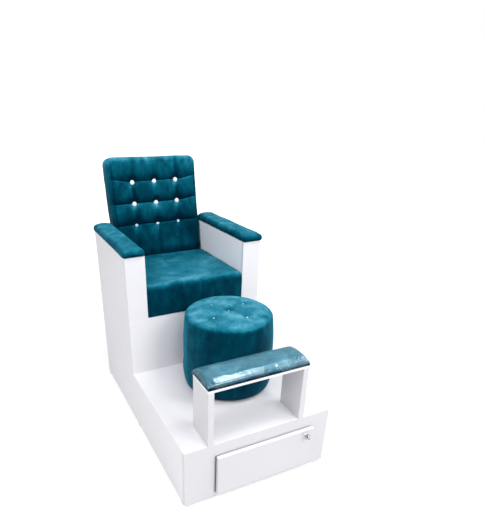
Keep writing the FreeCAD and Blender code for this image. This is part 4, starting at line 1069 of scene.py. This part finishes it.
def make_crystals():
    """The crystal buttons of the back and the stool, and the knob of the door."""
    lean = Matrix.Rotation(-BACK_TILT, 4, "X")
    places = []
    for row in TUFT_ROWS:
        for column in TUFT_COLUMNS:
            sunk = LOW_STONE_SUNK if row == TUFT_ROWS[0] else 0.0
            spot = on_back([(column, TUFT_DEPTH - 2.2 + sunk, row)])[0]
            places.append(Matrix.Translation(spot) @ lean @ Matrix.Rotation(math.pi / 2, 4, "X"))
    points, faces = stone(12, *BACK_STONE, STONE_SHARES)
    obj = join_copies("back_crystals", points, faces, places)
    # Painted shade on the lowest row of sunk buttons, mixing them towards teal
    store_nap_hem_and_painted_light(obj, np.repeat([0.45, 0.12, 0.3] + [0.0] * 6, len(points)))
    finish(obj, "platform", "crystal", ["back_buttons"])
    places = []
    top = DECK + STOOL_HEIGHT
    for sx, sy in stool_spots():
        places.append(Matrix.Translation((STOOL_X + sx, STOOL_Y + sy, top - 2.0)))
    points, faces = stone(12, *STOOL_STONE, STONE_SHARES)
    obj = join_copies("stool_crystals", points, faces, places)
    # Painted shade on all the stool's buttons, mixing them mostly towards teal
    store_nap_hem_and_painted_light(obj, np.full(len(points) * len(places), 0.8))
    finish(obj, "stool", "crystal", ["stool_buttons"])
    points, faces = stone(10, *KNOB_STONE, KNOB_SHARES)
    place = Matrix.Translation(KNOB_PLACE) @ Matrix.Rotation(math.pi / 2, 4, "X")
    obj = join_copies("knob_stone", points, faces, [place])
    finish(obj, "door", "crystal", ["knob_crystal"])
    obj.data.materials[0] = knob_finish


# Feet
def make_feet():
    """Six low moulded feet with rounded lower edges."""
    points, faces = ring_stack(40, FOOT_RINGS, False)
    places = [Matrix.Translation((x, y, 0)) for x in (FOOT_INSET, WIDTH - FOOT_INSET)
              for y in (FOOT_INSET, DEPTH / 2, DEPTH - FOOT_INSET)]
    obj = join_copies("moulded_feet", points, faces, places)
    obj.data.polygons.foreach_set("use_smooth", [len(p.vertices) == 4
                                                 for p in obj.data.polygons])
    finish(obj, "platform", "foot_plastic", ["feet"])


make_back()
make_rear_panel()
make_seat()
make_arm_pad("arm_left_upholstery", 0.0, True, "arm_left_pad")
make_arm_pad("arm_right_upholstery", WIDTH - ARM_WIDTH, False, "arm_right_pad")
make_footrest_pad()
make_film()
make_stool()
make_crystals()
make_feet()


# Stage, camera and light
def make_stage():
    """A plain white floor that keeps the bench's soft shadow."""
    half = 14.0
    points = [(-half, -half, 0), (half, -half, 0), (half, half, 0), (-half, half, 0)]
    floor = add_object("floor", points, [(0, 1, 2, 3)], smooth=False)
    material, tree, shader = new_material("floor_finish")
    place = add_node(tree, "TexCoord")
    away = add_node(tree, "VectorMath", {0: place.outputs["Object"]}, operation="LENGTH")
    white = span(tree, away.outputs["Value"], *FLOOR_GLOWS, *FLOOR_REACHES)
    rays = add_node(tree, "LightPath")
    glow = add_node(tree, "Math", {0: white, 1: rays.outputs["Is Camera Ray"]},
                    operation="MULTIPLY")
    feed(tree, shader, {"Base Color": (0.93, 0.93, 0.93, 1), "Roughness": 0.8,
                        "Specular IOR Level": 0.1, "Emission Color": (1, 1, 1, 1),
                        "Emission Strength": glow.outputs[0]})
    floor.data.materials.append(material)


def make_world():
    """Even light from all round, seen as plain white."""
    world = bpy.data.worlds.new("studio")
    scene.world = world
    world.use_nodes = True
    tree = world.node_tree
    tree.nodes.clear()
    light = add_node(tree, "Background", {"Color": (0.97, 0.98, 1.0, 1), "Strength": SKY_LIGHT})
    white = add_node(tree, "Background", {"Color": (1, 1, 1, 1)})
    rays = add_node(tree, "LightPath")
    mix = add_node(tree, "MixShader", {"Fac": rays.outputs["Is Camera Ray"],
                                       1: light.outputs["Background"],
                                       2: white.outputs["Background"]})
    add_node(tree, "OutputWorld", {"Surface": mix.outputs["Shader"]})


def add_lamp(name, place, target, size, power):
    """A soft square lamp aimed at a point."""
    data = bpy.data.lights.new(name, "AREA")
    data.shape = "RECTANGLE"
    data.size, data.size_y = size
    data.energy = power
    lamp = put_in_scene(name, data)
    lamp.location = place
    aim = Vector(target) - Vector(place)
    lamp.rotation_euler = aim.to_track_quat("-Z", "Y").to_euler()


def make_camera():
    """The camera at the photograph's viewpoint."""
    data = bpy.data.cameras.new("camera")
    data.sensor_fit = "VERTICAL"
    data.sensor_height = SENSOR
    data.lens = SENSOR * FOCAL_PIXELS / IMAGE_HEIGHT
    data.shift_x = (IMAGE_WIDTH / 2 - PRINCIPAL[0]) / IMAGE_HEIGHT
    data.shift_y = (PRINCIPAL[1] - IMAGE_HEIGHT / 2) / IMAGE_HEIGHT
    data.clip_end = 100
    camera = put_in_scene("camera", data)
    ahead = Vector((math.sin(CAMERA_YAW) * math.cos(CAMERA_PITCH),
                    math.cos(CAMERA_YAW) * math.cos(CAMERA_PITCH), -math.sin(CAMERA_PITCH)))
    right = Vector((math.cos(CAMERA_YAW), -math.sin(CAMERA_YAW), 0))
    up = right.cross(ahead)
    turned_right = right * math.cos(CAMERA_ROLL) + up * math.sin(CAMERA_ROLL)
    turned_up = up * math.cos(CAMERA_ROLL) - right * math.sin(CAMERA_ROLL)
    matrix = Matrix((turned_right, turned_up, -ahead)).transposed().to_4x4()
    matrix.translation = Vector(in_frame(CAMERA_PLACE)[0])
    camera.matrix_world = matrix
    scene.camera = camera


make_stage()
make_world()
add_lamp("front_top", (-0.6, -2.4, 3.6), (0.0, -0.4, 0.4), (2.0, 2.0), 12)
add_lamp("front_left", (-1.0, -3.3, 2.6), (0.0, -0.3, 0.4), (1.6, 1.6), 24)
add_lamp("left_fill", (-3.0, -0.8, 3.2), (0.0, -0.1, 0.5), (2.0, 2.0), 50)
add_lamp("key", (1.05, -3.0, 2.75), (0.0, -0.1, 0.5), (1.3, 1.3), 37)
add_lamp("right_fill", (3.0, -1.2, 3.0), (0.0, -0.1, 0.5), (2.0, 2.0), 32)
add_lamp("strip", (1.02, -1.0, 3.2), (-0.1, -0.6, 0.58), (0.42, 0.6), 14)
make_camera()
scene.view_settings.view_transform = "Standard"
